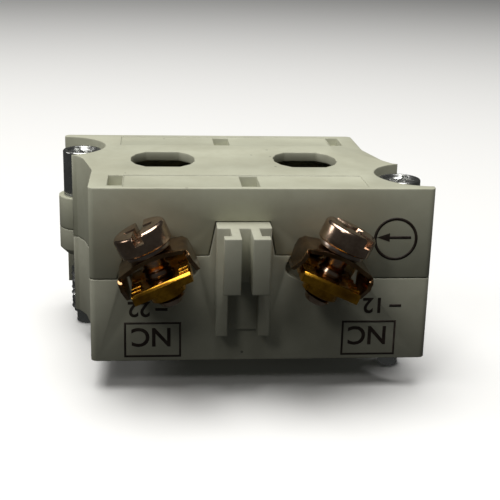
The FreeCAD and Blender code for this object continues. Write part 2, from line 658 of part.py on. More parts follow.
def coil_spring(label, across, radius, wire, turns, bottom, top):
    """A compression spring round a pole's axis, between two levels."""
    radius, wire, turns = size(radius), size(wire), size(turns)
    low, high = size(bottom) + wire / 2, size(top) - wire / 2
    helix = Part.makeHelix((high - low) / turns, high - low, radius)
    section = Part.Wire(Part.makeCircle(wire / 2, Vector(radius, 0, 0), Vector(0, 1, 0)))
    coil = Part.Wire(helix).makePipeShell([section], True, True)
    made = doc.addObject("Part::Feature", label)
    made.Shape = coil
    made.Placement = Placement(Vector(size(across), 0, low), Rotation())
    return node(made, label)


for side, across in (("left", POLE), ("right", "pole_across")):
    coil_spring(side + "_contact_spring", across, "contact_spring_radius", "contact_spring_wire",
                "contact_spring_turns", BRIDGE_BOTTOM + " + bridge_thickness", "shoulder_bottom")
    coil_spring(side + "_return_spring", across, "return_spring_radius", "return_spring_wire",
                "return_spring_turns", "shoulder_bottom + shoulder_thickness", SPRING_TOP)

# ---------------------------------------------------------------- terminals
# Each terminal is a plate that stands out of the wall, tilted outwards, with a neck through the
# wall and an inner strip down to the fixed contact tongue. A saddle clamp, a spring washer and a
# screw ride on the plate.
SCREW_ALONG = "-(housing_depth / 2 + terminal_reach)"
SADDLE_UNDER = "(plate_thickness / 2 + saddle_gap)"
SADDLE_TOP = "(%s + saddle_arch + saddle_thickness)" % SADDLE_UNDER
HEAD_UNDER = "(%s + spring_washer_thickness)" % SADDLE_TOP


def terminal_place(hand):
    """From the frame of a terminal (origin on the screw axis, mid plate) to the block's frame."""
    sign = -1 if hand == "left" else 1
    spot = Vector(sign * size("terminal_across"), size(SCREW_ALONG), size("terminal_height"))
    return Placement(spot, Rotation(Vector(0, 1, 0), sign * size("terminal_tilt")))


def inner_strip(hand):
    """The twist from the tilted neck to the level strip, then the leg and the tongue."""
    sign = -1 if hand == "left" else 1
    half = size("strip_width / 2")
    middle = sign * size("terminal_across")
    thick = size("strip_thickness")
    leg_outer = -size("leg_place") - thick
    neck_end = -size(INNER) + size("overlap")
    tilt = Rotation(Vector(0, 1, 0), sign * size("terminal_tilt"))
    centre = size("terminal_height")

    def section(along, rotation, thickness):
        corners = [(-half, -thickness / 2), (half, -thickness / 2), (half, thickness / 2),
                   (-half, thickness / 2)]
        points = [rotation.multVec(Vector(u, 0, v)) + Vector(middle, along, centre) for u, v in corners]
        return Part.makePolygon(points + points[:1])

    twist = Part.makeLoft([section(neck_end, tilt, size("plate_thickness")),
                           section(leg_outer, Rotation(), thick)], True, True)
    bottom = size("tongue_bottom")
    leg = Part.makeBox(2 * half, thick, centre + thick / 2 - bottom, Vector(middle - half, leg_outer, bottom))
    tongue = Part.makeBox(2 * half, -size("tongue_end") - leg_outer, thick,
                          Vector(middle - half, leg_outer, bottom))
    made = doc.addObject("Part::Feature", hand + "_inner_strip")
    made.Shape = twist.fuse([leg, tongue]).removeSplitter()
    return made


def terminal_plate(hand):
    plate = block(hand + "_plate", "plate_width", "plate_overhang + terminal_reach + pocket_depth - overlap",
                  "plate_thickness", "-plate_width / 2", "-plate_overhang", "-plate_thickness / 2")
    neck = block(hand + "_neck", "strip_width", "end_wall - pocket_depth + 4 * overlap", "plate_thickness",
                 "-strip_width / 2", "terminal_reach + pocket_depth - 2 * overlap",
                 "-plate_thickness / 2")
    tap = cylinder(hand + "_tap", "tap_radius", "tap_depth", "0", "0", "-plate_thickness / 2 - tap_depth")
    bore = cylinder(hand + "_bore", "clamp_screw_radius + clamp_screw_fit", "plate_thickness + 2 * tap_depth",
                    "0", "0", "-plate_thickness / 2 - tap_depth - overlap")
    outer = cut(hand + "_plate_drilled", fuse(hand + "_plate_blank", [plate, neck, tap]), bore)
    outer.Placement = terminal_place(hand)
    return node(fuse("front_%s_terminal" % hand, [outer, inner_strip(hand)]), "front_%s_terminal" % hand)


def contact_tip(hand):
    across = POLE if hand == "left" else "pole_across"
    tip = cylinder("front_%s_contact_tip" % hand, "tip_radius", "tip_thickness", across, "-tip_place",
                   "tongue_bottom + strip_thickness")
    return node(tip, "front_%s_contact_tip" % hand)


def saddle(hand):
    """Bent sheet: an arched top over the wire, and two pointed lips past the plate's edges."""
    body = new_body("front_%s_saddle" % hand)
    outline = new_sketch(body, hand + "_saddle_outline", "XZ_Plane")
    half = "(plate_width / 2 + saddle_side_gap + saddle_thickness)"
    corner = SADDLE_UNDER + " + saddle_thickness"
    tip = "%s + saddle_thickness - lip_length" % SADDLE_UNDER
    quarter_rise = " + 3 / 4 * saddle_arch"
    side = [(half + " + lip_flare - lip_land", tip),
            (half + " + lip_flare", tip + " + lip_point"),
            (half, corner + " - saddle_bend"),
            (half + " - saddle_bend", corner),
            (half + " / 2", corner + quarter_rise)]
    inside = [(half + " - saddle_thickness", tip + " + lip_point"),
              (half + " - saddle_thickness", SADDLE_UNDER + " - saddle_inner_bend"),
              (half + " - saddle_thickness - saddle_inner_bend", SADDLE_UNDER),
              (half + " / 2", SADDLE_UNDER + quarter_rise)]
    top = [("0", SADDLE_TOP)]
    under = [("0", SADDLE_UNDER + " + saddle_arch")]
    over = side + top + [("-(%s)" % a, b) for a, b in reversed(side)]
    below = [("-(%s)" % a, b) for a, b in inside] + under + list(reversed(inside))
    polygon(outline, over + below)
    pad(body, outline, "saddle_length", midplane=True)
    hole = new_sketch(body, hand + "_saddle_hole", "XY_Plane", SADDLE_TOP)
    circle(hole, "0", "0", "clamp_screw_radius + clamp_screw_fit")
    pocket(body, hole, "saddle_thickness + 2 * saddle_arch")
    body.Placement = terminal_place(hand)
    return body


def spring_washer(hand):
    """A split ring under the screw's head."""
    disc = cylinder(hand + "_washer_disc", "spring_washer_radius", "spring_washer_thickness",
                    "0", "0", SADDLE_TOP)
    bore = cylinder(hand + "_washer_bore", "clamp_screw_radius + clamp_screw_fit",
                    "spring_washer_thickness + 2 * overlap", "0", "0", SADDLE_TOP + " - overlap")
    slit = block(hand + "_washer_slit", "spring_washer_radius + overlap", "spring_washer_slit",
                 "spring_washer_thickness + 2 * overlap", "0", "-spring_washer_slit / 2",
                 SADDLE_TOP + " - overlap")
    ring = cut("front_%s_spring_washer" % hand, cut(hand + "_washer_ring", disc, bore), slit)
    ring.Placement = terminal_place(hand)
    return node(ring, "front_%s_spring_washer" % hand)


def clamp_screw(hand):
    """Pan head with a driver slot right across it, and a plain stand-in for the thread."""
    body = new_body("front_%s_terminal_screw" % hand)
    profile = new_sketch(body, hand + "_clamp_screw_profile", "XZ_Plane")
    top = HEAD_UNDER + " + clamp_head_height"
    polygon(profile, [("0", "-clamp_screw_below"),
                      ("clamp_screw_radius - screw_point", "-clamp_screw_below"),
                      ("clamp_screw_radius", "-clamp_screw_below + screw_point"),
                      ("clamp_screw_radius", HEAD_UNDER), ("clamp_head_radius", HEAD_UNDER),
                      ("clamp_head_radius", top + " - clamp_head_bevel"),
                      ("clamp_head_radius - 0.7 * clamp_head_bevel", top + " - 0.2 * clamp_head_bevel"),
                      ("clamp_head_radius - 1.8 * clamp_head_bevel", top), ("0", top)])
    revolve(body, profile)
    groove = new_sketch(body, hand + "_clamp_screw_slot", "XY_Plane", top)
    rectangle(groove, "-slot_width / 2", "slot_width / 2", "-clamp_head_radius - overlap",
              "clamp_head_radius + overlap")
    pocket(body, groove, "driver_depth")
    body.Placement = terminal_place(hand)
    return body


TERMINAL_PIECES = []
for hand in ("left", "right"):
    TERMINAL_PIECES += [terminal_plate(hand), contact_tip(hand), saddle(hand), spring_washer(hand),
                        clamp_screw(hand)]

# ---------------------------------------------------------------- mounting screws
# Captive screws in the ears: a tall cylindrical head, an undercut shank, and a thread below.
EAR = ("-" + EAR_ACROSS, "ear_along")
washer_disc = cylinder("mount_washer_disc", "mount_head_radius", "mount_washer_thickness", *EAR, "ear_top")
washer_bore = cylinder("mount_washer_bore", "mount_shank_radius + mount_hole_fit",
                       "mount_washer_thickness + 2 * overlap", *EAR, "ear_top - overlap")
mount_washer = node(cut("left_screw_washer", washer_disc, washer_bore), "left_screw_washer")

mount_screw = new_body("left_mounting_screw")
profile = new_sketch(mount_screw, "mount_screw_profile", "XZ_Plane")
head_under = "ear_top + mount_washer_thickness"
head_top = "housing_height - mount_head_sink"
polygon(profile, [("0", "-mount_tip"), ("mount_point_radius - screw_point / 2", "-mount_tip"),
                  ("mount_point_radius", "-mount_tip + screw_point / 2"),
                  ("mount_point_radius", "mount_thread_bottom - screw_point"),
                  ("mount_thread_radius", "mount_thread_bottom"),
                  ("mount_thread_radius", "mount_thread_top"),
                  ("mount_shank_radius", "mount_thread_top + screw_point"),
                  ("mount_shank_radius", head_under), ("mount_head_radius", head_under),
                  ("mount_head_radius", head_top + " - mount_head_bevel"),
                  ("mount_head_radius - mount_head_bevel", head_top), ("0", head_top)])
revolve(mount_screw, profile)
groove = new_sketch(mount_screw, "mount_screw_slot", "XY_Plane", head_top)
rectangle(groove, "-slot_width / 2", "slot_width / 2", "-mount_head_radius + mount_slot_rim",
          "mount_head_radius - mount_slot_rim")
pocket(mount_screw, groove, "driver_depth")
mount_screw.Placement = Placement(Vector(size("-" + EAR_ACROSS), size("ear_along"), 0), Rotation())

doc.recompute()

# ---------------------------------------------------------------- turned copies
for source, label in ((plunger, "right_plunger"), (bridge, "right_contact_bridge"),
                      (bridge_tips, "right_bridge_tips"), (mount_washer, "right_screw_washer"),
                      (mount_screw, "right_mounting_screw")):
    half_turn(source, label)
for source in TERMINAL_PIECES:
    opposite = "back_right" if "_left_" in source.Label else "back_left"
    half_turn(source, opposite + source.Label[source.Label.index("_", 6):])
doc.recompute()

# ---------------------------------------------------------------- checks and export
for item in doc.Objects:
    if "Invalid" in item.State or "Error" in item.State:
        raise RuntimeError("failed object: " + item.Name)
for item in NODES:
    shape = item.Shape
    if shape.isNull() or not shape.isValid() or not shape.Solids:
        raise RuntimeError("bad shape: " + item.Label)

os.makedirs("parts", exist_ok=True)
for item in NODES:
    item.Shape.exportStep("parts/%s.step" % item.Label)
    print("%-28s %9.2f mm3, solids %d" % (item.Label, item.Shape.Volume, len(item.Shape.Solids)))
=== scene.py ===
import json
import math
import bmesh
import bpy
from mathutils import Matrix, Vector


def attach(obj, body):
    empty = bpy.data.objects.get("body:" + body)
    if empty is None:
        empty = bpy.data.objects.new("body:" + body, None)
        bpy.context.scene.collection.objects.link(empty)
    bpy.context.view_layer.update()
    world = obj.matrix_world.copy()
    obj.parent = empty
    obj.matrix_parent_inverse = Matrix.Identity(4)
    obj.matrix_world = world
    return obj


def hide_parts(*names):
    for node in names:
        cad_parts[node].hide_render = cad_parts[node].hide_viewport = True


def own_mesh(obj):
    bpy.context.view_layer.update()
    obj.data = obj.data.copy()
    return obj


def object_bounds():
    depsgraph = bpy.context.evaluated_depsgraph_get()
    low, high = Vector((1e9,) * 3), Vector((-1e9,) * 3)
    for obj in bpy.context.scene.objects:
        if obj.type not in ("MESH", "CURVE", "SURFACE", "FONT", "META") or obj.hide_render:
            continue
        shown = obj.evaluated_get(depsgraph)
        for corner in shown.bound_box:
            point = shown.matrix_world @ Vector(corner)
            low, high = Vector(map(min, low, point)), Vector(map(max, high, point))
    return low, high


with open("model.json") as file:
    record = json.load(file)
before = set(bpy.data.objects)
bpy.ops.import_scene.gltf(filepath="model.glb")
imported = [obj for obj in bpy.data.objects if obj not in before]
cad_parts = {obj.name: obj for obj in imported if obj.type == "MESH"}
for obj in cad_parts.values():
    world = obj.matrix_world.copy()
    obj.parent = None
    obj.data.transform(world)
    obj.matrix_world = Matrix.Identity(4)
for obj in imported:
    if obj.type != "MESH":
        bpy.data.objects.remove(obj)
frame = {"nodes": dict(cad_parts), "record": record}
cad_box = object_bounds()
MM = 0.001

# ---------------------------------------------------------------- camera, lights and floor
# The block lies on a pale floor under one large soft lamp, with two weak fills from the front and
# the left, and the camera looks slightly down on its front from the left of the middle.
scene = bpy.context.scene
scene.view_settings.view_transform = "Standard"
scene.view_settings.look = "None"

CAMERA_PLACE = Vector((-10.6, -139.0, 52.5)) * MM
CAMERA_YAW = 0.0935
CAMERA_PITCH = 0.300
CAMERA_ROLL = 0.0250
CAMERA_FOCUS = 1064.0 / 500.0
SENSOR = 36.0

forward = Vector((math.sin(CAMERA_YAW) * math.cos(CAMERA_PITCH),
                  math.cos(CAMERA_YAW) * math.cos(CAMERA_PITCH), -math.sin(CAMERA_PITCH)))
level_right = Vector((math.cos(CAMERA_YAW), -math.sin(CAMERA_YAW), 0.0))
level_up = level_right.cross(forward)
right = level_right * math.cos(CAMERA_ROLL) + level_up * math.sin(CAMERA_ROLL)
up = level_up * math.cos(CAMERA_ROLL) - level_right * math.sin(CAMERA_ROLL)
camera_data = bpy.data.cameras.new("camera")
camera_data.sensor_width = SENSOR
camera_data.lens = SENSOR * CAMERA_FOCUS
camera_data.clip_start = 0.005
camera = bpy.data.objects.new("camera", camera_data)
turned = Matrix((right, up, -forward)).transposed().to_4x4()
camera.matrix_world = Matrix.Translation(CAMERA_PLACE) @ turned
scene.collection.objects.link(camera)
scene.camera = camera


def area_lamp(name, place, target, size, watts, colour):
    data = bpy.data.lights.new(name, "AREA")
    data.shape = "DISK"
    data.size = size
    data.energy = watts
    data.color = colour
    lamp = bpy.data.objects.new(name, data)
    aim = (Vector(target) - Vector(place)).to_track_quat("-Z", "Y").to_matrix().to_4x4()
    lamp.matrix_world = Matrix.Translation(place) @ aim
    scene.collection.objects.link(lamp)


LAMP_TARGET = (0, 0, 0.01)
area_lamp("key", (-0.05, -0.02, 0.60), LAMP_TARGET, 0.58, 4.8, (1.0, 0.99, 0.96))
area_lamp("front_fill", (-0.26, -0.40, 0.40), LAMP_TARGET, 0.14, 0.30, (1.0, 0.98, 0.93))
area_lamp("left_fill", (-0.48, 0.05, 0.22), LAMP_TARGET, 0.16, 0.32, (1.0, 0.98, 0.95))

world = bpy.data.worlds.new("studio")
scene.world = world
world.use_nodes = True
world.node_tree.nodes["Background"].inputs["Color"].default_value = (0.80, 0.82, 0.80, 1)
world.node_tree.nodes["Background"].inputs["Strength"].default_value = 0.045

FLOOR_SIZE = 3.0
floor_level = cad_box[0][2]
floor_mesh = bpy.data.meshes.new("floor")
floor_mesh.from_pydata([(across * FLOOR_SIZE, along * FLOOR_SIZE, floor_level)
                        for across, along in ((-1, -1), (1, -1), (1, 1), (-1, 1))],
                       [], [(0, 1, 2, 3)])
floor = bpy.data.objects.new("floor", floor_mesh)
floor.visible_diffuse = False
floor.visible_glossy = False
scene.collection.objects.link(floor)
paper = bpy.data.materials.new("floor_paper")
paper.use_nodes = True
paper.node_tree.nodes["Principled BSDF"].inputs["Base Color"].default_value = (0.92, 0.92, 0.92, 1)
paper.node_tree.nodes["Principled BSDF"].inputs["Roughness"].default_value = 0.9
floor_mesh.materials.append(paper)

# ---------------------------------------------------------------- housing
# Base and cover are moulded in a warm grey plastic. Both are taken over from the frame with a
# small moulded radius on every edge. Their rails and walls are part of them.
EDGE_RADIUS = 0.11 * MM


def shader_group(name, inputs, outputs):
    """An empty shader node group with named sockets: (name, kind, first value)."""
    group = bpy.data.node_groups.new(name, "ShaderNodeTree")
    for label, kind, value in inputs:
        socket = group.interface.new_socket(label, in_out="INPUT", socket_type=kind)
        socket.default_value = value
    for label, kind in outputs:
        group.interface.new_socket(label, in_out="OUTPUT", socket_type=kind)
    return group, group.nodes.new("NodeGroupInput"), group.nodes.new("NodeGroupOutput")


def add(tree, kind, links=(), **values):
    """A node with its properties and input values set, and its inputs linked."""
    made = tree.nodes.new(kind)
    for key, value in values.items():
        if hasattr(made, key):
            setattr(made, key, value)
        else:
            made.inputs[key.replace("_", " ")].default_value = value
    for socket, source in links:
        tree.links.new(source, made.inputs[socket])
    return made


FLOAT, COLOUR = "NodeSocketFloat", "NodeSocketColor"

# Cloudy change of tone, as in handled plastic or tarnished plate.
mottle, inside, outside = shader_group(
    "mottle", [("Colour", COLOUR, (1, 1, 1, 1)), ("Stain", COLOUR, (0, 0, 0, 1)),
               ("Scale", FLOAT, 200.0), ("Amount", FLOAT, 0.3)], [("Colour", COLOUR)])
place = add(mottle, "ShaderNodeTexCoord")
cloud = add(mottle, "ShaderNodeTexNoise", [("Vector", place.outputs["Object"]),
                                           ("Scale", inside.outputs["Scale"])], Detail=5.0)
share = add(mottle, "ShaderNodeMapRange", [("Value", cloud.outputs["Fac"]),
                                           ("To Max", inside.outputs["Amount"])])
share.inputs["From Min"].default_value = 0.42
share.inputs["From Max"].default_value = 0.68
blend = add(mottle, "ShaderNodeMix", [], data_type="RGBA")
mottle.links.new(share.outputs["Result"], blend.inputs["Factor"])
mottle.links.new(inside.outputs["Colour"], blend.inputs[6])
mottle.links.new(inside.outputs["Stain"], blend.inputs[7])
mottle.links.new(blend.outputs[2], outside.inputs["Colour"])

# Mask of the outer edges, which are lightened as a painted edge highlight together with abrasion:
# where a rounded normal leaves the flat one, broken up by noise.
edge_highlight_and_wear, inside, outside = shader_group(
    "painted_edge_highlight_and_wear", [("Radius", FLOAT, 0.0003), ("Scale", FLOAT, 900.0), ("Amount", FLOAT, 1.0)],
    [("Mask", FLOAT)])
rounded = add(edge_highlight_and_wear, "ShaderNodeBevel", [("Radius", inside.outputs["Radius"])], samples=4)
flat = add(edge_highlight_and_wear, "ShaderNodeNewGeometry")
same = add(edge_highlight_and_wear, "ShaderNodeVectorMath",
           [(0, rounded.outputs["Normal"]), (1, flat.outputs["Normal"])], operation="DOT_PRODUCT")
edge = add(edge_highlight_and_wear, "ShaderNodeMapRange", [("Value", same.outputs["Value"])])
for key, value in (("From Min", 0.995), ("From Max", 0.90), ("To Min", 0.0), ("To Max", 1.0)):
    edge.inputs[key].default_value = value
place = add(edge_highlight_and_wear, "ShaderNodeTexCoord")
edge_patch_noise = add(edge_highlight_and_wear, "ShaderNodeTexNoise", [("Vector", place.outputs["Object"]),
                                       ("Scale", inside.outputs["Scale"])], Detail=4.0)
patchy = add(edge_highlight_and_wear, "ShaderNodeMapRange", [("Value", edge_patch_noise.outputs["Fac"])])
for key, value in (("From Min", 0.35), ("From Max", 0.62)):
    patchy.inputs[key].default_value = value
both = add(edge_highlight_and_wear, "ShaderNodeMath", [(0, edge.outputs["Result"]), (1, patchy.outputs["Result"])],
           operation="MULTIPLY")
strength = add(edge_highlight_and_wear, "ShaderNodeMath", [(0, both.outputs["Value"]), (1, inside.outputs["Amount"])],
               operation="MULTIPLY")
edge_highlight_and_wear.links.new(strength.outputs["Value"], outside.inputs["Mask"])

# Small dark specks of dirt, few and far between.
SPECK_CHANCE = 0.16
specks, inside, outside = shader_group(
    "specks", [("Scale", FLOAT, 500.0), ("Size", FLOAT, 0.12), ("Amount", FLOAT, 1.0)],
    [("Mask", FLOAT)])
place = add(specks, "ShaderNodeTexCoord")
cells = add(specks, "ShaderNodeTexVoronoi", [("Vector", place.outputs["Object"]),
                                             ("Scale", inside.outputs["Scale"])])
near = add(specks, "ShaderNodeMath", [(0, cells.outputs["Distance"]), (1, inside.outputs["Size"])],
           operation="LESS_THAN")
chance = add(specks, "ShaderNodeSeparateColor", [("Color", cells.outputs["Color"])])
rare = add(specks, "ShaderNodeMath", [(0, chance.outputs["Red"])], operation="LESS_THAN")
rare.inputs[1].default_value = SPECK_CHANCE
kept = add(specks, "ShaderNodeMath", [(0, near.outputs["Value"]), (1, rare.outputs["Value"])],
           operation="MULTIPLY")
speck_share = add(specks, "ShaderNodeMath",
                  [(0, kept.outputs["Value"]), (1, inside.outputs["Amount"])], operation="MULTIPLY")
specks.links.new(speck_share.outputs["Value"], outside.inputs["Mask"])

# Fine moulded or plated grain, put out as a height.
grain, inside, outside = shader_group(
    "fine_grain", [("Scale", FLOAT, 4000.0), ("Amount", FLOAT, 1.0)], [("Height", FLOAT)])
place = add(grain, "ShaderNodeTexCoord")
fine = add(grain, "ShaderNodeTexNoise", [("Vector", place.outputs["Object"]),
                                         ("Scale", inside.outputs["Scale"])], Detail=2.0)
height = add(grain, "ShaderNodeMath", [(0, fine.outputs["Fac"]), (1, inside.outputs["Amount"])],
             operation="MULTIPLY")
grain.links.new(height.outputs["Value"], outside.inputs["Height"])


def use(tree, group, links=(), **values):
    """A node group placed in a material with its own values."""
    made = tree.nodes.new("ShaderNodeGroup")
    made.node_tree = group
    for key, value in values.items():
        made.inputs[key].default_value = value
    for socket, source in links:
        tree.links.new(source, made.inputs[socket])
    return made


def mix(tree, factor, first, second):
    """Colour mix; first and second are sockets or colours."""
    made = add(tree, "ShaderNodeMix", [("Factor", factor)], data_type="RGBA")
    for number, source in ((6, first), (7, second)):
        if isinstance(source, tuple):
            made.inputs[number].default_value = source
        else:
            tree.links.new(source, made.inputs[number])
    return made.outputs[2]


SPECK_DARKNESS = 0.25
SMOOTHER, ROUGHER = 0.08, 0.10


def moulded_plastic(name, colour, stain, lit_worn_edge_colour, roughness):
    """Moulded plastic: cloudy tone, grime specks, edges lightened as a painted highlight together
    with abrasion, and a fine spark-eroded grain.
    """
    material = bpy.data.materials.new(name)
    material.use_nodes = True
    tree = material.node_tree
    shader = tree.nodes["Principled BSDF"]
    tone = use(tree, mottle, Colour=colour, Stain=stain, Scale=110.0, Amount=0.55)
    small = use(tree, mottle, [("Colour", tone.outputs["Colour"])], Stain=stain, Scale=900.0,
                Amount=0.22)
    # Paler colour on the edges: a painted edge highlight, partly abrasion.
    edge_highlight_and_wear_mask = use(tree, edge_highlight_and_wear, Radius=0.28 * MM, Scale=700.0, Amount=0.55)
    dirt = use(tree, specks, Scale=420.0, Size=0.075, Amount=0.75)
    with_lit_edges = mix(tree, edge_highlight_and_wear_mask.outputs["Mask"], small.outputs["Colour"], lit_worn_edge_colour)
    dark = tuple(SPECK_DARKNESS * value for value in colour[:3]) + (1,)
    spotted = mix(tree, dirt.outputs["Mask"], with_lit_edges, dark)
    tree.links.new(spotted, shader.inputs["Base Color"])
    rough = add(tree, "ShaderNodeTexNoise", Scale=260.0, Detail=3.0)
    tree.links.new(add(tree, "ShaderNodeTexCoord").outputs["Object"], rough.inputs["Vector"])
    span = add(tree, "ShaderNodeMapRange", [("Value", rough.outputs["Fac"])])
    span.inputs["To Min"].default_value = roughness - SMOOTHER
    span.inputs["To Max"].default_value = roughness + ROUGHER
    tree.links.new(span.outputs["Result"], shader.inputs["Roughness"])
    moulded = use(tree, grain, Scale=5200.0, Amount=1.0)
    bump = add(tree, "ShaderNodeBump", [("Height", moulded.outputs["Height"])], Strength=0.10)
    bump.inputs["Distance"].default_value = 0.03 * MM
    soft = add(tree, "ShaderNodeBevel", Radius=0.22 * MM, samples=4)
    tree.links.new(soft.outputs["Normal"], bump.inputs["Normal"])
    tree.links.new(bump.outputs["Normal"], shader.inputs["Normal"])
    shader.inputs["Specular IOR Level"].default_value = 0.42
    return material


# The third colour of each moulding is its paler edge colour: a painted edge highlight, partly
# abrasion.
cover_moulding = moulded_plastic("cover_moulding", (0.500, 0.505, 0.395, 1),
                                (0.405, 0.400, 0.300, 1), (0.62, 0.62, 0.50, 1), 0.46)
base_moulding = moulded_plastic("base_moulding", (0.455, 0.455, 0.365, 1),
                               (0.355, 0.350, 0.270, 1), (0.60, 0.60, 0.50, 1), 0.48)


def fresh_object(name, mesh, material=None):
    """An object at the origin around a mesh, with its one material."""
    made = bpy.data.objects.new(name, mesh)
    scene.collection.objects.link(made)
    if material is not None:
        mesh.materials.clear()
        mesh.materials.append(material)
    return made


def applied(made):
    """Turn the object's modifiers into a plain mesh."""
    bpy.context.view_layer.update()
    seen = made.evaluated_get(bpy.context.evaluated_depsgraph_get())
    mesh = bpy.data.meshes.new_from_object(seen)
    made.modifiers.clear()
    made.data = mesh


def smooth_by_angle(mesh, degrees):
    """Smooth faces, with a sharp edge wherever two faces meet at more than the angle."""
    work = bmesh.new()
    work.from_mesh(mesh)
    for face in work.faces:
        face.smooth = True
    for edge in work.edges:
        flat_enough = edge.calc_face_angle(0.0) < math.radians(degrees)
        edge.smooth = len(edge.link_faces) == 2 and flat_enough
    work.to_mesh(mesh)
    work.free()


def rounded_edges(piece, radius, angle):
    """A small radius on every edge that is sharper than the angle."""
    bevel = piece.modifiers.new("radius", "BEVEL")
    bevel.width = radius
    bevel.segments = 2
    bevel.limit_method = "ANGLE"
    bevel.angle_limit = math.radians(angle)
    bevel.use_clamp_overlap = True
    applied(piece)


SAME_SPOT = 0.0005 * MM
FLAT_ANGLE = 0.4
SHARP_ANGLE = 40.0
SMOOTH_ANGLE = 35.0


def taken_over(node, name, material, radius, wide_edge=None, wide=0.0):
    """A merged copy of a CAD node with a radius on its sharp edges, and a wide bevel on one."""
    source = frame["nodes"][node]
    work = bmesh.new()
    work.from_mesh(source.data)
    bmesh.ops.remove_doubles(work, verts=work.verts, dist=SAME_SPOT)
    bmesh.ops.dissolve_limit(work, angle_limit=math.radians(FLAT_ANGLE), verts=work.verts,
                             edges=work.edges)
    if wide_edge is not None:
        chosen = [edge for edge in work.edges if all(wide_edge(end.co) for end in edge.verts)]
        bmesh.ops.bevel(work, geom=chosen, offset=wide, segments=1, affect="EDGES")
    mesh = bpy.data.meshes.new(name)
    work.to_mesh(mesh)
    work.free()
    piece = fresh_object(name, mesh, material)
    rounded_edges(piece, radius, SHARP_ANGLE)
    smooth_by_angle(piece.data, SMOOTH_ANGLE)
    return piece


HOUSING_PIECES = (("base_housing", "base_shell", base_moulding, "base_plastic"),
                  ("cover_housing", "cover_shell", cover_moulding, "cover_plastic"))
for node, name, material, slot in HOUSING_PIECES:
    shell = taken_over(node, name, material, EDGE_RADIUS)
    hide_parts(node)
    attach(shell, "housing")

# ---------------------------------------------------------------- terminals
# Stamped brass plates, one at each corner, pushed through the wall and bent down inside to the
# fixed contact. Short ribs across the plate's ends grip the wire.
CORNERS = ("front_left", "front_right", "back_left", "back_right")
JOINTS = {joint["name"]: joint for joint in frame["record"]["behaviour"]["joints"]}


def terminal_place(corner):
    """From a terminal's own frame (z along its screw, y towards the block) to the block's frame."""
    joint = JOINTS[corner + "_screw_turn"]
    upright = Vector(joint["axis"]).normalized()
    inward = Vector((0, 1 if corner.startswith("front") else -1, 0))
    across = inward.cross(upright)
    turn = Matrix((across, inward, upright)).transposed().to_4x4()
    return Matrix.Translation(Vector(joint["pos_m"])) @ turn


def own_span(node, place):
    """Lowest and highest corner of a CAD node in a frame of its own."""
    back = place.inverted()
    spots = [back @ vertex.co for vertex in frame["nodes"][node].data.vertices]
    return (Vector(min(spot[i] for spot in spots) for i in range(3)),
            Vector(max(spot[i] for spot in spots) for i in range(3)))


def bright_metal(name, colour, tarnish, dull, roughness, spread):
    """Plated or rolled metal: clouds of tarnish, edges brightened as a painted highlight together
    with abrasion, fine rolling grain and smears.
    """
    material = bpy.data.materials.new(name)
    material.use_nodes = True
    tree = material.node_tree
    shader = tree.nodes["Principled BSDF"]
    shader.inputs["Metallic"].default_value = 1.0
    tone = use(tree, mottle, Colour=colour, Stain=tarnish, Scale=420.0, Amount=dull)
    small = use(tree, mottle, [("Colour", tone.outputs["Colour"])], Stain=tarnish, Scale=2600.0,
                Amount=dull / 2)
    # Brighter metal on the edges: a painted edge highlight, partly abrasion.
    edge_highlight_and_wear_mask = use(tree, edge_highlight_and_wear, Radius=0.12 * MM, Scale=1500.0, Amount=0.5)
    highlit_edge_metal = tuple(min(1.0, 1.15 * value + 0.04) for value in colour[:3]) + (1,)
    tree.links.new(mix(tree, edge_highlight_and_wear_mask.outputs["Mask"], small.outputs["Colour"], highlit_edge_metal),
                   shader.inputs["Base Color"])
    where = add(tree, "ShaderNodeTexCoord")
    smear = add(tree, "ShaderNodeTexNoise", [("Vector", where.outputs["Object"])], Scale=700.0,
                Detail=4.0)
    span = add(tree, "ShaderNodeMapRange", [("Value", smear.outputs["Fac"])])
    span.inputs["To Min"].default_value = roughness
    span.inputs["To Max"].default_value = roughness + spread
    tree.links.new(span.outputs["Result"], shader.inputs["Roughness"])
    plated = use(tree, grain, Scale=9000.0, Amount=1.0)
    bump = add(tree, "ShaderNodeBump", [("Height", plated.outputs["Height"])], Strength=0.06)
    bump.inputs["Distance"].default_value = 0.02 * MM
    tree.links.new(bump.outputs["Normal"], shader.inputs["Normal"])
    return material


terminal_brass = bright_metal("terminal_gold_brass", (0.88, 0.45, 0.04, 1), (0.17, 0.055, 0.01, 1),
                              0.75, 0.12, 0.16)
RIB_COUNT = 4
RIB_PITCH = 1.3 * MM
RIB_LENGTH = 1.15 * MM
RIB_HALF = 0.17 * MM
RIB_FRONT = 2.6 * MM
RIB_SIDE = 3.55 * MM
RIB_SMOOTH = 50.0
PLATE_TOP = 0.6 * MM
PLATE_RADIUS = 0.06 * MM
FRONT_BEVEL = 0.3 * MM
ON_EDGE = 0.03 * MM


def geometry_tree(name, inputs):
    """A Geometry Nodes tree with a geometry in and out, and named inputs: (name, kind, value)."""
    tree = bpy.data.node_groups.new(name, "GeometryNodeTree")
    tree.interface.new_socket("Geometry", in_out="INPUT", socket_type="NodeSocketGeometry")
    for label, kind, value in inputs:
        socket = tree.interface.new_socket(label, in_out="INPUT", socket_type=kind)
        if value is not None:
            socket.default_value = value
    tree.interface.new_socket("Geometry", in_out="OUTPUT", socket_type="NodeSocketGeometry")
    return tree, tree.nodes.new("NodeGroupInput"), tree.nodes.new("NodeGroupOutput")


def close_tree(tree, source, inside, outside):
    """Realize Instances and Set Material at the end of a tree."""
    real = add(tree, "GeometryNodeRealizeInstances", [("Geometry", source)])
    made = add(tree, "GeometryNodeSetMaterial", [("Geometry", real.outputs["Geometry"]),
                                                 ("Material", inside.outputs["Material"])])
    tree.links.new(made.outputs["Geometry"], outside.inputs["Geometry"])


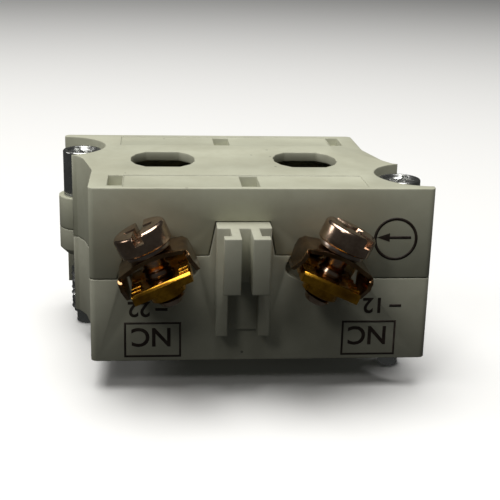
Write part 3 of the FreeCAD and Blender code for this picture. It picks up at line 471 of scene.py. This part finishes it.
def grown(name, tree, values, mesh=None):
    """The plain mesh that a Geometry Nodes tree makes with the given input values."""
    host = bpy.data.objects.new(name, mesh or bpy.data.meshes.new(name))
    scene.collection.objects.link(host)
    modifier = host.modifiers.new("grow", "NODES")
    modifier.node_group = tree
    for item in tree.interface.items_tree:
        if item.in_out == "INPUT" and item.name in values:
            modifier[item.identifier] = values[item.name]
    applied(host)
    made = host.data
    bpy.data.objects.remove(host)
    return made


LENGTH, WHOLE, STUFF = "NodeSocketFloat", "NodeSocketInt", "NodeSocketMaterial"

# A row of short rounded ribs, one behind the other.
rib_tree, inside, outside = geometry_tree(
    "wire_ribs", [("Count", WHOLE, 5), ("Pitch", LENGTH, 0.001), ("Length", LENGTH, 0.001),
                  ("Half", LENGTH, 0.0002), ("Material", STUFF, None)])
step = add(rib_tree, "ShaderNodeCombineXYZ", [("Y", inside.outputs["Pitch"])])
row = add(rib_tree, "GeometryNodeMeshLine", [("Count", inside.outputs["Count"]),
                                             ("Offset", step.outputs["Vector"])])
far_end = add(rib_tree, "ShaderNodeCombineXYZ", [("X", inside.outputs["Length"])])
run = add(rib_tree, "GeometryNodeCurvePrimitiveLine", [("End", far_end.outputs["Vector"])])
section = add(rib_tree, "GeometryNodeCurvePrimitiveCircle", [("Radius", inside.outputs["Half"])],
              Resolution=10)
rib = add(rib_tree, "GeometryNodeCurveToMesh", [("Curve", run.outputs["Curve"]),
                                                ("Profile Curve", section.outputs["Curve"])])
rib.inputs["Fill Caps"].default_value = True
rows = add(rib_tree, "GeometryNodeInstanceOnPoints", [("Points", row.outputs["Mesh"]),
                                                      ("Instance", rib.outputs["Mesh"])])
close_tree(rib_tree, rows.outputs["Instances"], inside, outside)


def joined(name, parts, material):
    """One object made of several meshes, each with its own place."""
    work = bmesh.new()
    for mesh, place in parts:
        copy = mesh.copy()
        copy.transform(place)
        work.from_mesh(copy)
        bpy.data.meshes.remove(copy)
    mesh = bpy.data.meshes.new(name)
    work.to_mesh(mesh)
    work.free()
    return fresh_object(name, mesh, material)


for corner in CORNERS:
    node = corner + "_terminal"
    place = terminal_place(corner)
    inverse, front = place.inverted(), own_span(node, place)[0].y

    def front_top(spot):
        own = inverse @ spot
        return abs(own.y - front) < ON_EDGE and abs(own.z - PLATE_TOP) < ON_EDGE

    plate = taken_over(node, corner + "_plate", terminal_brass, PLATE_RADIUS, front_top,
                       FRONT_BEVEL)
    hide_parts(node)
    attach(plate, "housing")
    row = grown("ribs", rib_tree, {"Count": RIB_COUNT, "Pitch": RIB_PITCH,
                                   "Length": RIB_LENGTH, "Half": RIB_HALF,
                                   "Material": terminal_brass})
    ends = [(row, place @ Matrix.Translation((start, -RIB_FRONT, PLATE_TOP)))
            for start in (-RIB_SIDE, RIB_SIDE - RIB_LENGTH)]
    ribs = joined(corner + "_wire_ribs", ends, terminal_brass)
    smooth_by_angle(ribs.data, RIB_SMOOTH)
    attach(ribs, "housing")

# ---------------------------------------------------------------- saddle clamps
# Nickel-plated sheet, bent over the wire: an arched top with the screw's hole, small notches where
# it is bent, and two lips that run down past the plate and narrow towards their ends.
saddle_plating = bright_metal("saddle_plating", (0.36, 0.22, 0.11, 1), (0.12, 0.055, 0.02, 1),
                              0.8, 0.12, 0.14)
SHEET = 0.48 * MM
BEND = 0.75 * MM
ARCH_RISE = 0.6 * MM
SADDLE_BORE = 1.84 * MM
SADDLE_RADIUS = 0.09 * MM
SADDLE_SMOOTH = 38.0
LIP_STEPS, BEND_STEPS, ARCH_STEPS, SADDLE_COLUMNS, BORE_STEPS = 6, 6, 10, 10, 40
LIP_NARROW = 0.34
LIP_GROWTH = 1.5
NOTCH = 0.45 * MM
NOTCH_SHARPNESS = 1.2
TOP_INSET = 0.38 * MM
FLARE = 0.25 * MM


def saddle_line(half, lip_end, shoulder, crown):
    """Outer line of the sheet, from one lip's end over the arch to the other's."""
    points = []
    for k in range(LIP_STEPS + 1):
        share = k / LIP_STEPS
        points.append((half + FLARE * (1 - share), lip_end + share * (shoulder - BEND - lip_end),
                       "lip", share))
    for k in range(1, BEND_STEPS + 1):
        angle = math.radians(90 * k / BEND_STEPS)
        points.append((half - BEND + BEND * math.cos(angle),
                       shoulder - BEND + BEND * math.sin(angle), "bend", k / BEND_STEPS))
    for k in range(1, ARCH_STEPS + 1):
        share = k / ARCH_STEPS
        rise = (crown - shoulder) * math.sin(share * math.pi / 2)
        points.append(((half - BEND) * (1 - share), shoulder + rise, "top", share))
    mirrored = [(-across, up, kind, share) for across, up, kind, share in reversed(points[:-1])]
    return points + mirrored


def saddle_mesh(low, high):
    """The bent sheet as a grid across its outline, given its thickness afterwards."""
    reach, crown = high.y, high.z
    work = bmesh.new()
    rows = []
    for across, up, kind, share in saddle_line(high.x - FLARE, low.z, crown - ARCH_RISE, crown):
        if kind == "lip":
            wide = reach * (LIP_NARROW + (1 - LIP_NARROW) * min(1.0, share * LIP_GROWTH))
        elif kind == "bend":
            dip = math.sin(math.pi * min(1.0, share * NOTCH_SHARPNESS)) ** 2
            wide = reach - NOTCH * dip - TOP_INSET * share
        else:
            wide = reach - TOP_INSET
        rows.append([work.verts.new((across, wide * (2 * k / SADDLE_COLUMNS - 1), up))
                     for k in range(SADDLE_COLUMNS + 1)])
    for first, second in zip(rows, rows[1:]):
        for k in range(SADDLE_COLUMNS):
            work.faces.new((first[k], first[k + 1], second[k + 1], second[k]))
    bmesh.ops.recalc_face_normals(work, faces=work.faces)
    if sum(face.normal.z for face in work.faces) < 0:
        bmesh.ops.reverse_faces(work, faces=work.faces)
    mesh = bpy.data.meshes.new("saddle_sheet")
    work.to_mesh(mesh)
    work.free()
    return mesh


def turned_shape(profile, steps):
    """A closed solid of revolution about z from (radius, height) pairs that start and end at 0."""
    work = bmesh.new()
    rings = []
    for radius, height in profile:
        if radius == 0:
            rings.append([work.verts.new((0, 0, height))])
        else:
            rings.append([work.verts.new((radius * math.cos(2 * math.pi * k / steps),
                                          radius * math.sin(2 * math.pi * k / steps), height))
                          for k in range(steps)])
    for first, second in zip(rings, rings[1:]):
        for k in range(steps):
            n = (k + 1) % steps
            corners = [first[k % len(first)], first[n % len(first)],
                       second[n % len(second)], second[k % len(second)]]
            work.faces.new(list(dict.fromkeys(corners)))
    bmesh.ops.recalc_face_normals(work, faces=work.faces)
    mesh = bpy.data.meshes.new("turned")
    work.to_mesh(mesh)
    work.free()
    return mesh


def carved(piece, tools):
    """Cut the tool meshes out of the piece, one after the other."""
    for mesh in tools:
        tool = fresh_object("tool", mesh)
        cut = piece.modifiers.new("cut", "BOOLEAN")
        cut.operation = "DIFFERENCE"
        cut.solver = "EXACT"
        cut.object = tool
        applied(piece)
        bpy.data.objects.remove(tool)


for corner in CORNERS:
    node = corner + "_saddle"
    place = terminal_place(corner)
    low, high = own_span(node, place)
    piece = fresh_object(corner + "_saddle_clamp", saddle_mesh(low, high), saddle_plating)
    wall = piece.modifiers.new("sheet", "SOLIDIFY")
    wall.thickness = SHEET
    wall.offset = -1.0
    wall.use_even_offset = True
    applied(piece)
    bottom, above = high.z - 3 * SHEET, high.z + SHEET
    carved(piece, [turned_shape([(0, bottom), (SADDLE_BORE, bottom), (SADDLE_BORE, above),
                                 (0, above)], BORE_STEPS)])
    rounded_edges(piece, SADDLE_RADIUS, SHARP_ANGLE)
    smooth_by_angle(piece.data, SADDLE_SMOOTH)
    piece.data.transform(place)
    piece.data.materials.clear()
    piece.data.materials.append(saddle_plating)
    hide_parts(node)
    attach(piece, corner + "_clamp")

# ---------------------------------------------------------------- spring washers
# Split rings under the heads of the clamp screws. They have a duller tone than the screws, and ride
# on the same body as the saddle.
washer_plating = bright_metal("washer_plating", (0.48, 0.40, 0.34, 1), (0.18, 0.13, 0.10, 1),
                              0.5, 0.2, 0.2)
SPLIT_WASHER_RADIUS = 0.08 * MM
for corner in CORNERS:
    node = corner + "_spring_washer"
    ring = taken_over(node, corner + "_split_washer", washer_plating, SPLIT_WASHER_RADIUS)
    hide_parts(node)
    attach(ring, corner + "_clamp")

# ---------------------------------------------------------------- clamp screws
# Nickel-plated cheese-head screws with a combined driver slot and cross recess, a rounded rim and
# a rolled thread that stands out below the plate.
screw_plating = bright_metal("screw_plating", (0.62, 0.46, 0.35, 1), (0.22, 0.12, 0.07, 1),
                             0.6, 0.13, 0.16)

# A raised thread that climbs round an upright core.
thread_tree, inside, outside = geometry_tree(
    "rolled_thread", [("Radius", LENGTH, 0.0015), ("Turns", LENGTH, 8.0), ("Height", LENGTH, 0.005),
                      ("Crest", LENGTH, 0.0003), ("Material", STUFF, None)])
helix = add(thread_tree, "GeometryNodeCurveSpiral", [
    ("Rotations", inside.outputs["Turns"]), ("Start Radius", inside.outputs["Radius"]),
    ("End Radius", inside.outputs["Radius"]), ("Height", inside.outputs["Height"])], Resolution=28)
crest = add(thread_tree, "GeometryNodeCurvePrimitiveCircle", [("Radius", inside.outputs["Crest"])],
            Resolution=4)
rolled = add(thread_tree, "GeometryNodeCurveToMesh", [("Curve", helix.outputs["Curve"]),
                                                      ("Profile Curve", crest.outputs["Curve"])])
rolled.inputs["Fill Caps"].default_value = True
close_tree(thread_tree, rolled.outputs["Mesh"], inside, outside)


def thread(radius, pitch, low, high, material):
    """A thread whose crest lies on the radius, from one height to the other."""
    crest_size = pitch / 2
    core = radius - crest_size
    mesh = grown("thread", thread_tree, {
        "Radius": core, "Turns": (high - low) / pitch, "Height": high - low,
        "Crest": crest_size, "Material": material})
    mesh.transform(Matrix.Translation((0, 0, low)))
    return mesh, core


RIM_STEPS = 6


def rounded_rim(radius, top, rim):
    """Profile points of a rounded upper edge."""
    angles = [math.radians(90 * k / RIM_STEPS) for k in range(RIM_STEPS + 1)]
    return [(radius - rim + rim * math.cos(angle), top - rim + rim * math.sin(angle))
            for angle in angles]


CLEAR_ABOVE = 0.3 * MM


def driver_bar(wide, long, top, deep, taper):
    """A tapered bar that cuts one arm of a driver recess."""
    work = bmesh.new()
    levels = ((top + CLEAR_ABOVE, 1.0), (top, 1.0), (top - deep, taper))
    rings = []
    for height, share in levels:
        x, y = wide / 2 * (0.5 + 0.5 * share), long / 2 * share
        rings.append([work.verts.new(spot) for spot in ((-x, -y, height), (x, -y, height),
                                                        (x, y, height), (-x, y, height))])
    for first, second in zip(rings, rings[1:]):
        for k in range(4):
            work.faces.new((first[k], first[(k + 1) % 4], second[(k + 1) % 4], second[k]))
    work.faces.new(rings[0])
    work.faces.new(list(reversed(rings[-1])))
    bmesh.ops.recalc_face_normals(work, faces=work.faces)
    mesh = bpy.data.meshes.new("driver_bar")
    work.to_mesh(mesh)
    work.free()
    return mesh


def cross_bar(wide, long, top, deep, taper):
    """The same bar, a quarter turn on."""
    bar = driver_bar(wide, long, top, deep, taper)
    bar.transform(Matrix.Rotation(math.radians(90), 4, "Z"))
    return bar


def screw_object(name, profile, bars, rim, turn, place, rolled, material):
    """A turned screw with its driver recess cut, its rim softened and its rolled thread added."""
    head = fresh_object("head", turned_shape(profile, HEAD_STEPS), material)
    carved(head, bars)
    rounded_edges(head, rim, SMOOTH_ANGLE)
    smooth_by_angle(head.data, SMOOTH_ANGLE)
    turned = place @ Matrix.Rotation(math.radians(turn), 4, "Z")
    made = joined(name, [(head.data, turned), (rolled, place)], material)
    bpy.data.objects.remove(head)
    smooth_by_angle(made.data, SMOOTH_ANGLE)
    return made


HEAD_STEPS = 72
HEAD_GAP = 0.03 * MM
HEAD_RIM = 0.5 * MM
HEAD_FOOT = 0.15 * MM
HEAD_FLAT = 1.2 * MM
HEAD_RADIUS = 0.06 * MM
CLAMP_THREAD = 1.74 * MM
CLAMP_PITCH = 0.6 * MM
CLAMP_THREAD_LOW = 0.55 * MM
CLAMP_THREAD_TOP = 2.0 * MM
CLAMP_SHANK = 1.7 * MM
POINT_IN, POINT_UP = 0.25 * MM, 0.3 * MM
SHANK_START, SHANK_FULL = 0.4 * MM, 0.3 * MM
SLOT_WIDE, SLOT_DEEP, SLOT_OVERRUN = 1.12 * MM, 1.15 * MM, 2.4
CROSS_WIDE, CROSS_LONG, CROSS_DEEP, CROSS_TAPER = 0.95 * MM, 3.5 * MM, 1.7 * MM, 0.45
SLOT_TURN = {"front_left": -4.0, "front_right": 38.0, "back_left": 20.0, "back_right": -62.0}
for corner in CORNERS:
    node = corner + "_terminal_screw"
    place = terminal_place(corner)
    low, high = own_span(node, place)
    washer_top = own_span(corner + "_spring_washer", place)[1].z
    under, top, radius = washer_top + HEAD_GAP, high.z, high.x
    rolled_mesh, core = thread(CLAMP_THREAD, CLAMP_PITCH, low.z + CLAMP_THREAD_LOW,
                               CLAMP_THREAD_TOP, screw_plating)
    profile = [(0, low.z), (core - POINT_IN, low.z), (core, low.z + POINT_UP),
               (core, under - SHANK_START), (CLAMP_SHANK, under - SHANK_FULL),
               (CLAMP_SHANK, under), (radius - HEAD_FOOT, under), (radius, under + HEAD_FOOT)]
    profile += rounded_rim(radius, top, HEAD_RIM) + [(radius - HEAD_FLAT, top), (0, top)]
    bars = [driver_bar(SLOT_WIDE, SLOT_OVERRUN * radius, top, SLOT_DEEP, 1.0),
            cross_bar(CROSS_WIDE, CROSS_LONG, top, CROSS_DEEP, CROSS_TAPER)]
    screw = screw_object(corner + "_clamp_screw", profile, bars, HEAD_RADIUS, SLOT_TURN[corner],
                         place, rolled_mesh, screw_plating)
    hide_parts(node)
    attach(screw, corner + "_screw")

# ---------------------------------------------------------------- mounting screws
# Zinc-plated captive screws with a tall cylindrical head: raised rim, dished top with a cross and
# slot recess, thin washer, undercut shank, thread and a plain point.
screw_zinc = bright_metal("screw_zinc", (0.74, 0.75, 0.74, 1), (0.42, 0.42, 0.40, 1),
                          0.5, 0.16, 0.2)
washer_zinc = bright_metal("washer_zinc", (0.60, 0.61, 0.60, 1), (0.30, 0.30, 0.28, 1),
                           0.5, 0.25, 0.2)
MOUNT_THREAD, MOUNT_PITCH = 2.0 * MM, 0.7 * MM
MOUNT_THREAD_LOW, MOUNT_THREAD_TOP = -1.9 * MM, 4.3 * MM
MOUNT_CORE_LOW, MOUNT_CORE_TOP = -2.2 * MM, 4.6 * MM
MOUNT_SHANK, MOUNT_SHANK_LOW = 1.6 * MM, 4.8 * MM
PLAIN_POINT, PLAIN_POINT_TOP, PLAIN_BEVEL = 1.3 * MM, -2.5 * MM, 0.25 * MM
RIM_WIDE, RIM_SLOPE, DISH_DEEP = 0.55 * MM, 0.2 * MM, 0.4 * MM
RIM_ROUND, HEAD_EDGE = 0.22 * MM, 0.1 * MM
ARM_WIDE = 0.85 * MM
SLOT_ARM_DEEP, SLOT_ARM_SHARE, SLOT_ARM_TAPER = 0.9 * MM, 1.62, 0.9
CROSS_ARM_LONG, CROSS_ARM_DEEP, CROSS_ARM_TAPER = 3.0 * MM, 1.7 * MM, 0.4
MOUNT_RADIUS, FLAT_WASHER_RADIUS = 0.05 * MM, 0.04 * MM
MOUNT_TURN = {"left": 25.0, "right": -35.0}
for side in ("left", "right"):
    node = side + "_mounting_screw"
    low, high = own_span(node, Matrix.Identity(4))
    centre = (low + high) / 2
    place = Matrix.Translation((centre.x, centre.y, 0))
    under = own_span(side + "_screw_washer", Matrix.Identity(4))[1].z
    radius, top = (high.x - low.x) / 2, high.z
    floor_of_dish = top - DISH_DEEP
    rolled_mesh, core = thread(MOUNT_THREAD, MOUNT_PITCH, MOUNT_THREAD_LOW, MOUNT_THREAD_TOP,
                               screw_zinc)
    profile = [(0, low.z), (PLAIN_POINT - PLAIN_BEVEL, low.z), (PLAIN_POINT, low.z + PLAIN_BEVEL),
               (PLAIN_POINT, PLAIN_POINT_TOP), (core, MOUNT_CORE_LOW), (core, MOUNT_CORE_TOP),
               (MOUNT_SHANK, MOUNT_SHANK_LOW), (MOUNT_SHANK, under),
               (radius - HEAD_EDGE, under), (radius, under + HEAD_EDGE)]
    profile += rounded_rim(radius, top, RIM_ROUND)
    profile += [(radius - RIM_WIDE, top), (radius - RIM_WIDE - RIM_SLOPE, floor_of_dish),
                (0, floor_of_dish)]
    bars = [driver_bar(ARM_WIDE, SLOT_ARM_SHARE * radius, floor_of_dish, SLOT_ARM_DEEP,
                       SLOT_ARM_TAPER),
            cross_bar(ARM_WIDE, CROSS_ARM_LONG, floor_of_dish, CROSS_ARM_DEEP, CROSS_ARM_TAPER)]
    screw = screw_object(side + "_captive_screw", profile, bars, MOUNT_RADIUS, MOUNT_TURN[side],
                         place, rolled_mesh, screw_zinc)
    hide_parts(node)
    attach(screw, side + "_mount_screw")
    ring = taken_over(side + "_screw_washer", side + "_flat_washer", washer_zinc,
                      FLAT_WASHER_RADIUS)
    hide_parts(side + "_screw_washer")
    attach(ring, side + "_mount_washer")

# ---------------------------------------------------------------- plungers, bridges and springs
# Black moulded plungers carry brass bridges with silver tips; the springs are drawn steel wire.
plunger_black = moulded_plastic("plunger_black", (0.011, 0.008, 0.007, 1), (0.020, 0.014, 0.011, 1),
                                (0.05, 0.04, 0.035, 1), 0.62)
bridge_brass = bright_metal("bridge_rolled_brass", (0.80, 0.56, 0.22, 1), (0.40, 0.25, 0.10, 1),
                            0.4, 0.22, 0.2)
tip_silver = bright_metal("tip_silver", (0.86, 0.85, 0.82, 1), (0.30, 0.28, 0.25, 1),
                          0.5, 0.3, 0.2)
spring_wire = bright_metal("spring_wire", (0.55, 0.55, 0.54, 1), (0.28, 0.27, 0.25, 1),
                           0.4, 0.2, 0.2)
PLUNGER_RADIUS = 0.1 * MM
for name, piece in frame["nodes"].items():
    for ending, material in (("_contact_bridge", bridge_brass), ("_bridge_tips", tip_silver),
                             ("_contact_tip", tip_silver), ("_contact_spring", spring_wire)):
        if name.endswith(ending):
            piece.material_slots[0].material = material
for side in ("left", "right"):
    node = side + "_plunger"
    piece = taken_over(node, side + "_plunger_moulding", plunger_black, PLUNGER_RADIUS)
    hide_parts(node)
    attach(piece, node)
    # In use the plunger presses the return spring shorter against the cover; here the spring is
    # copied with its own mesh and rides on the plunger's body.
    spring_node = side + "_return_spring"
    coil = fresh_object(side + "_return_coil", frame["nodes"][spring_node].data.copy(),
                        spring_wire)
    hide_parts(spring_node)
    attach(coil, node)
    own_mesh(coil)

# ---------------------------------------------------------------- printed marks
# Dark brown print on the front and back faces: the contact kind in a frame and terminal numbers
# with a dash, and on the front an arrow in a ring. The block is printed for use the other way up,
# so the figures stand on their heads here.
PRINT_DEEP = 0.02 * MM
PRINT_OFF = 0.3 * PRINT_DEEP
LINE = 0.36 * MM
BOLD = 0.055 * MM
FONT_SHARE = 1.43
# Places and sizes of the marks from here on are in millimetres on the face.
KIND_LEFT, KIND_UP, KIND_HEIGHT = 0.15, 0.28, 2.4
NUMBER_HEIGHT, DASH_START, DASH_END = 1.95, 2.0, 3.5
FRAME_LEFT, FRAME_RIGHT = (-14.27, -7.5, 0.6, 4.95), (12.8, 19.4, 0.6, 4.95)
NUMBER_LEFT, NUMBER_RIGHT = (-12.55, 6.75), (16.55, 7.05)
FACE_Y = 16.2 * MM
print_ink = bpy.data.materials.new("print_ink")
print_ink.use_nodes = True
tree = print_ink.node_tree
faded = use(tree, mottle, Colour=(0.020, 0.011, 0.007, 1), Stain=(0.10, 0.08, 0.06, 1),
            Scale=900.0, Amount=0.3)
tree.links.new(faded.outputs["Colour"], tree.nodes["Principled BSDF"].inputs["Base Color"])
where = add(tree, "ShaderNodeTexCoord")
matt = add(tree, "ShaderNodeTexNoise", [("Vector", where.outputs["Object"])], Scale=1500.0)
span = add(tree, "ShaderNodeMapRange", [("Value", matt.outputs["Fac"])])
span.inputs["To Min"].default_value = 0.45
span.inputs["To Max"].default_value = 0.7
tree.links.new(span.outputs["Result"], tree.nodes["Principled BSDF"].inputs["Roughness"])

# A flat printed line that follows the edges of a drawing.
line_tree, inside, outside = geometry_tree(
    "printed_line", [("Width", LENGTH, 0.0002), ("Depth", LENGTH, 0.00002),
                     ("Material", STUFF, None)])
path = add(line_tree, "GeometryNodeMeshToCurve", [("Mesh", inside.outputs["Geometry"])])
band = add(line_tree, "GeometryNodeCurvePrimitiveQuadrilateral",
           [("Width", inside.outputs["Width"]), ("Height", inside.outputs["Depth"])])
drawn = add(line_tree, "GeometryNodeCurveToMesh", [("Curve", path.outputs["Curve"]),
                                                   ("Profile Curve", band.outputs["Curve"])])
drawn.inputs["Fill Caps"].default_value = True
close_tree(line_tree, drawn.outputs["Mesh"], inside, outside)


def drawn_line(points, closed):
    """A printed line through points of the face, given across and up in millimetres."""
    mesh = bpy.data.meshes.new("line")
    spots = [(across * MM, up * MM, 0) for across, up in points]
    edges = [(k, k + 1) for k in range(len(spots) - 1)]
    if closed:
        edges.append((len(spots) - 1, 0))
    mesh.from_pydata(spots, edges, [])
    return grown("line", line_tree,
                 {"Width": LINE, "Depth": PRINT_DEEP, "Material": print_ink}, mesh)


def printed_figures(text, across, up, height):
    """Figures centred on a point of the face, standing on their heads."""
    curve = bpy.data.curves.new("figures", "FONT")
    curve.body = text
    curve.size = FONT_SHARE * height * MM
    curve.align_x = "CENTER"
    curve.extrude = PRINT_DEEP / 2
    curve.offset = BOLD
    curve.resolution_u = 5
    host = bpy.data.objects.new("figures", curve)
    scene.collection.objects.link(host)
    bpy.context.view_layer.update()
    seen = host.evaluated_get(bpy.context.evaluated_depsgraph_get())
    mesh = bpy.data.meshes.new_from_object(seen)
    bpy.data.objects.remove(host)
    upside_down = Matrix.Rotation(math.pi, 4, "Z")
    mesh.transform(Matrix.Translation((across * MM, (up + height / 2) * MM, 0)) @ upside_down)
    return mesh


def framed_kind(left, right, low, high):
    """The contact kind in its frame."""
    outline = drawn_line([(left, low), (right, low), (right, high), (left, high)], True)
    return [outline, printed_figures("NC", (left + right) / 2 - KIND_LEFT,
                                     (low + high) / 2 + KIND_UP, KIND_HEIGHT)]


def terminal_number(text, across, up):
    """A terminal's number and the dash beside it."""
    dash = drawn_line([(across + DASH_START, up), (across + DASH_END, up)], False)
    return [printed_figures(text, across, up, NUMBER_HEIGHT), dash]


RING_CENTRE = (18.8, 15.7)
RING_RADIUS = 2.55
RING_STEPS = 40
ARROW_TIP = (16.45, 15.9)
ARROW_TAIL = 20.7
ARROW_LONG = 1.6
ARROW_HALF = 0.55
ring_angles = [2 * math.pi * k / RING_STEPS for k in range(RING_STEPS)]
ring = drawn_line([(RING_CENTRE[0] + RING_RADIUS * math.cos(angle),
                    RING_CENTRE[1] + RING_RADIUS * math.sin(angle)) for angle in ring_angles],
                  True)
neck = ARROW_TIP[0] + ARROW_LONG
head_corners = [ARROW_TIP, (neck, ARROW_TIP[1] - ARROW_HALF), (neck, ARROW_TIP[1] + ARROW_HALF)]
arrow_head = bpy.data.meshes.new("arrow_head")
arrow_head.from_pydata([(across * MM, up * MM, side * PRINT_DEEP / 2) for side in (-1, 1)
                        for across, up in head_corners], [],
                       [(2, 1, 0), (3, 4, 5), (0, 1, 4, 3), (1, 2, 5, 4), (2, 0, 3, 5)])
shaft = drawn_line([(ARROW_TAIL, ARROW_TIP[1]), (neck, ARROW_TIP[1])], False)
kinds = framed_kind(*FRAME_LEFT) + framed_kind(*FRAME_RIGHT)
marks = {
    "front": kinds + terminal_number("22", *NUMBER_LEFT) + terminal_number("12", *NUMBER_RIGHT)
    + [ring, shaft, arrow_head],
    "back": kinds + terminal_number("11", *NUMBER_LEFT) + terminal_number("21", *NUMBER_RIGHT),
}
for end, turn in (("front", 0.0), ("back", math.pi)):
    stand = (Matrix.Rotation(turn, 4, "Z") @ Matrix.Translation((0, -FACE_Y - PRINT_OFF, 0))
             @ Matrix.Rotation(math.radians(90), 4, "X"))
    printed = joined(end + "_printed_marks", [(mesh, stand) for mesh in marks[end]], print_ink)
    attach(printed, "housing")
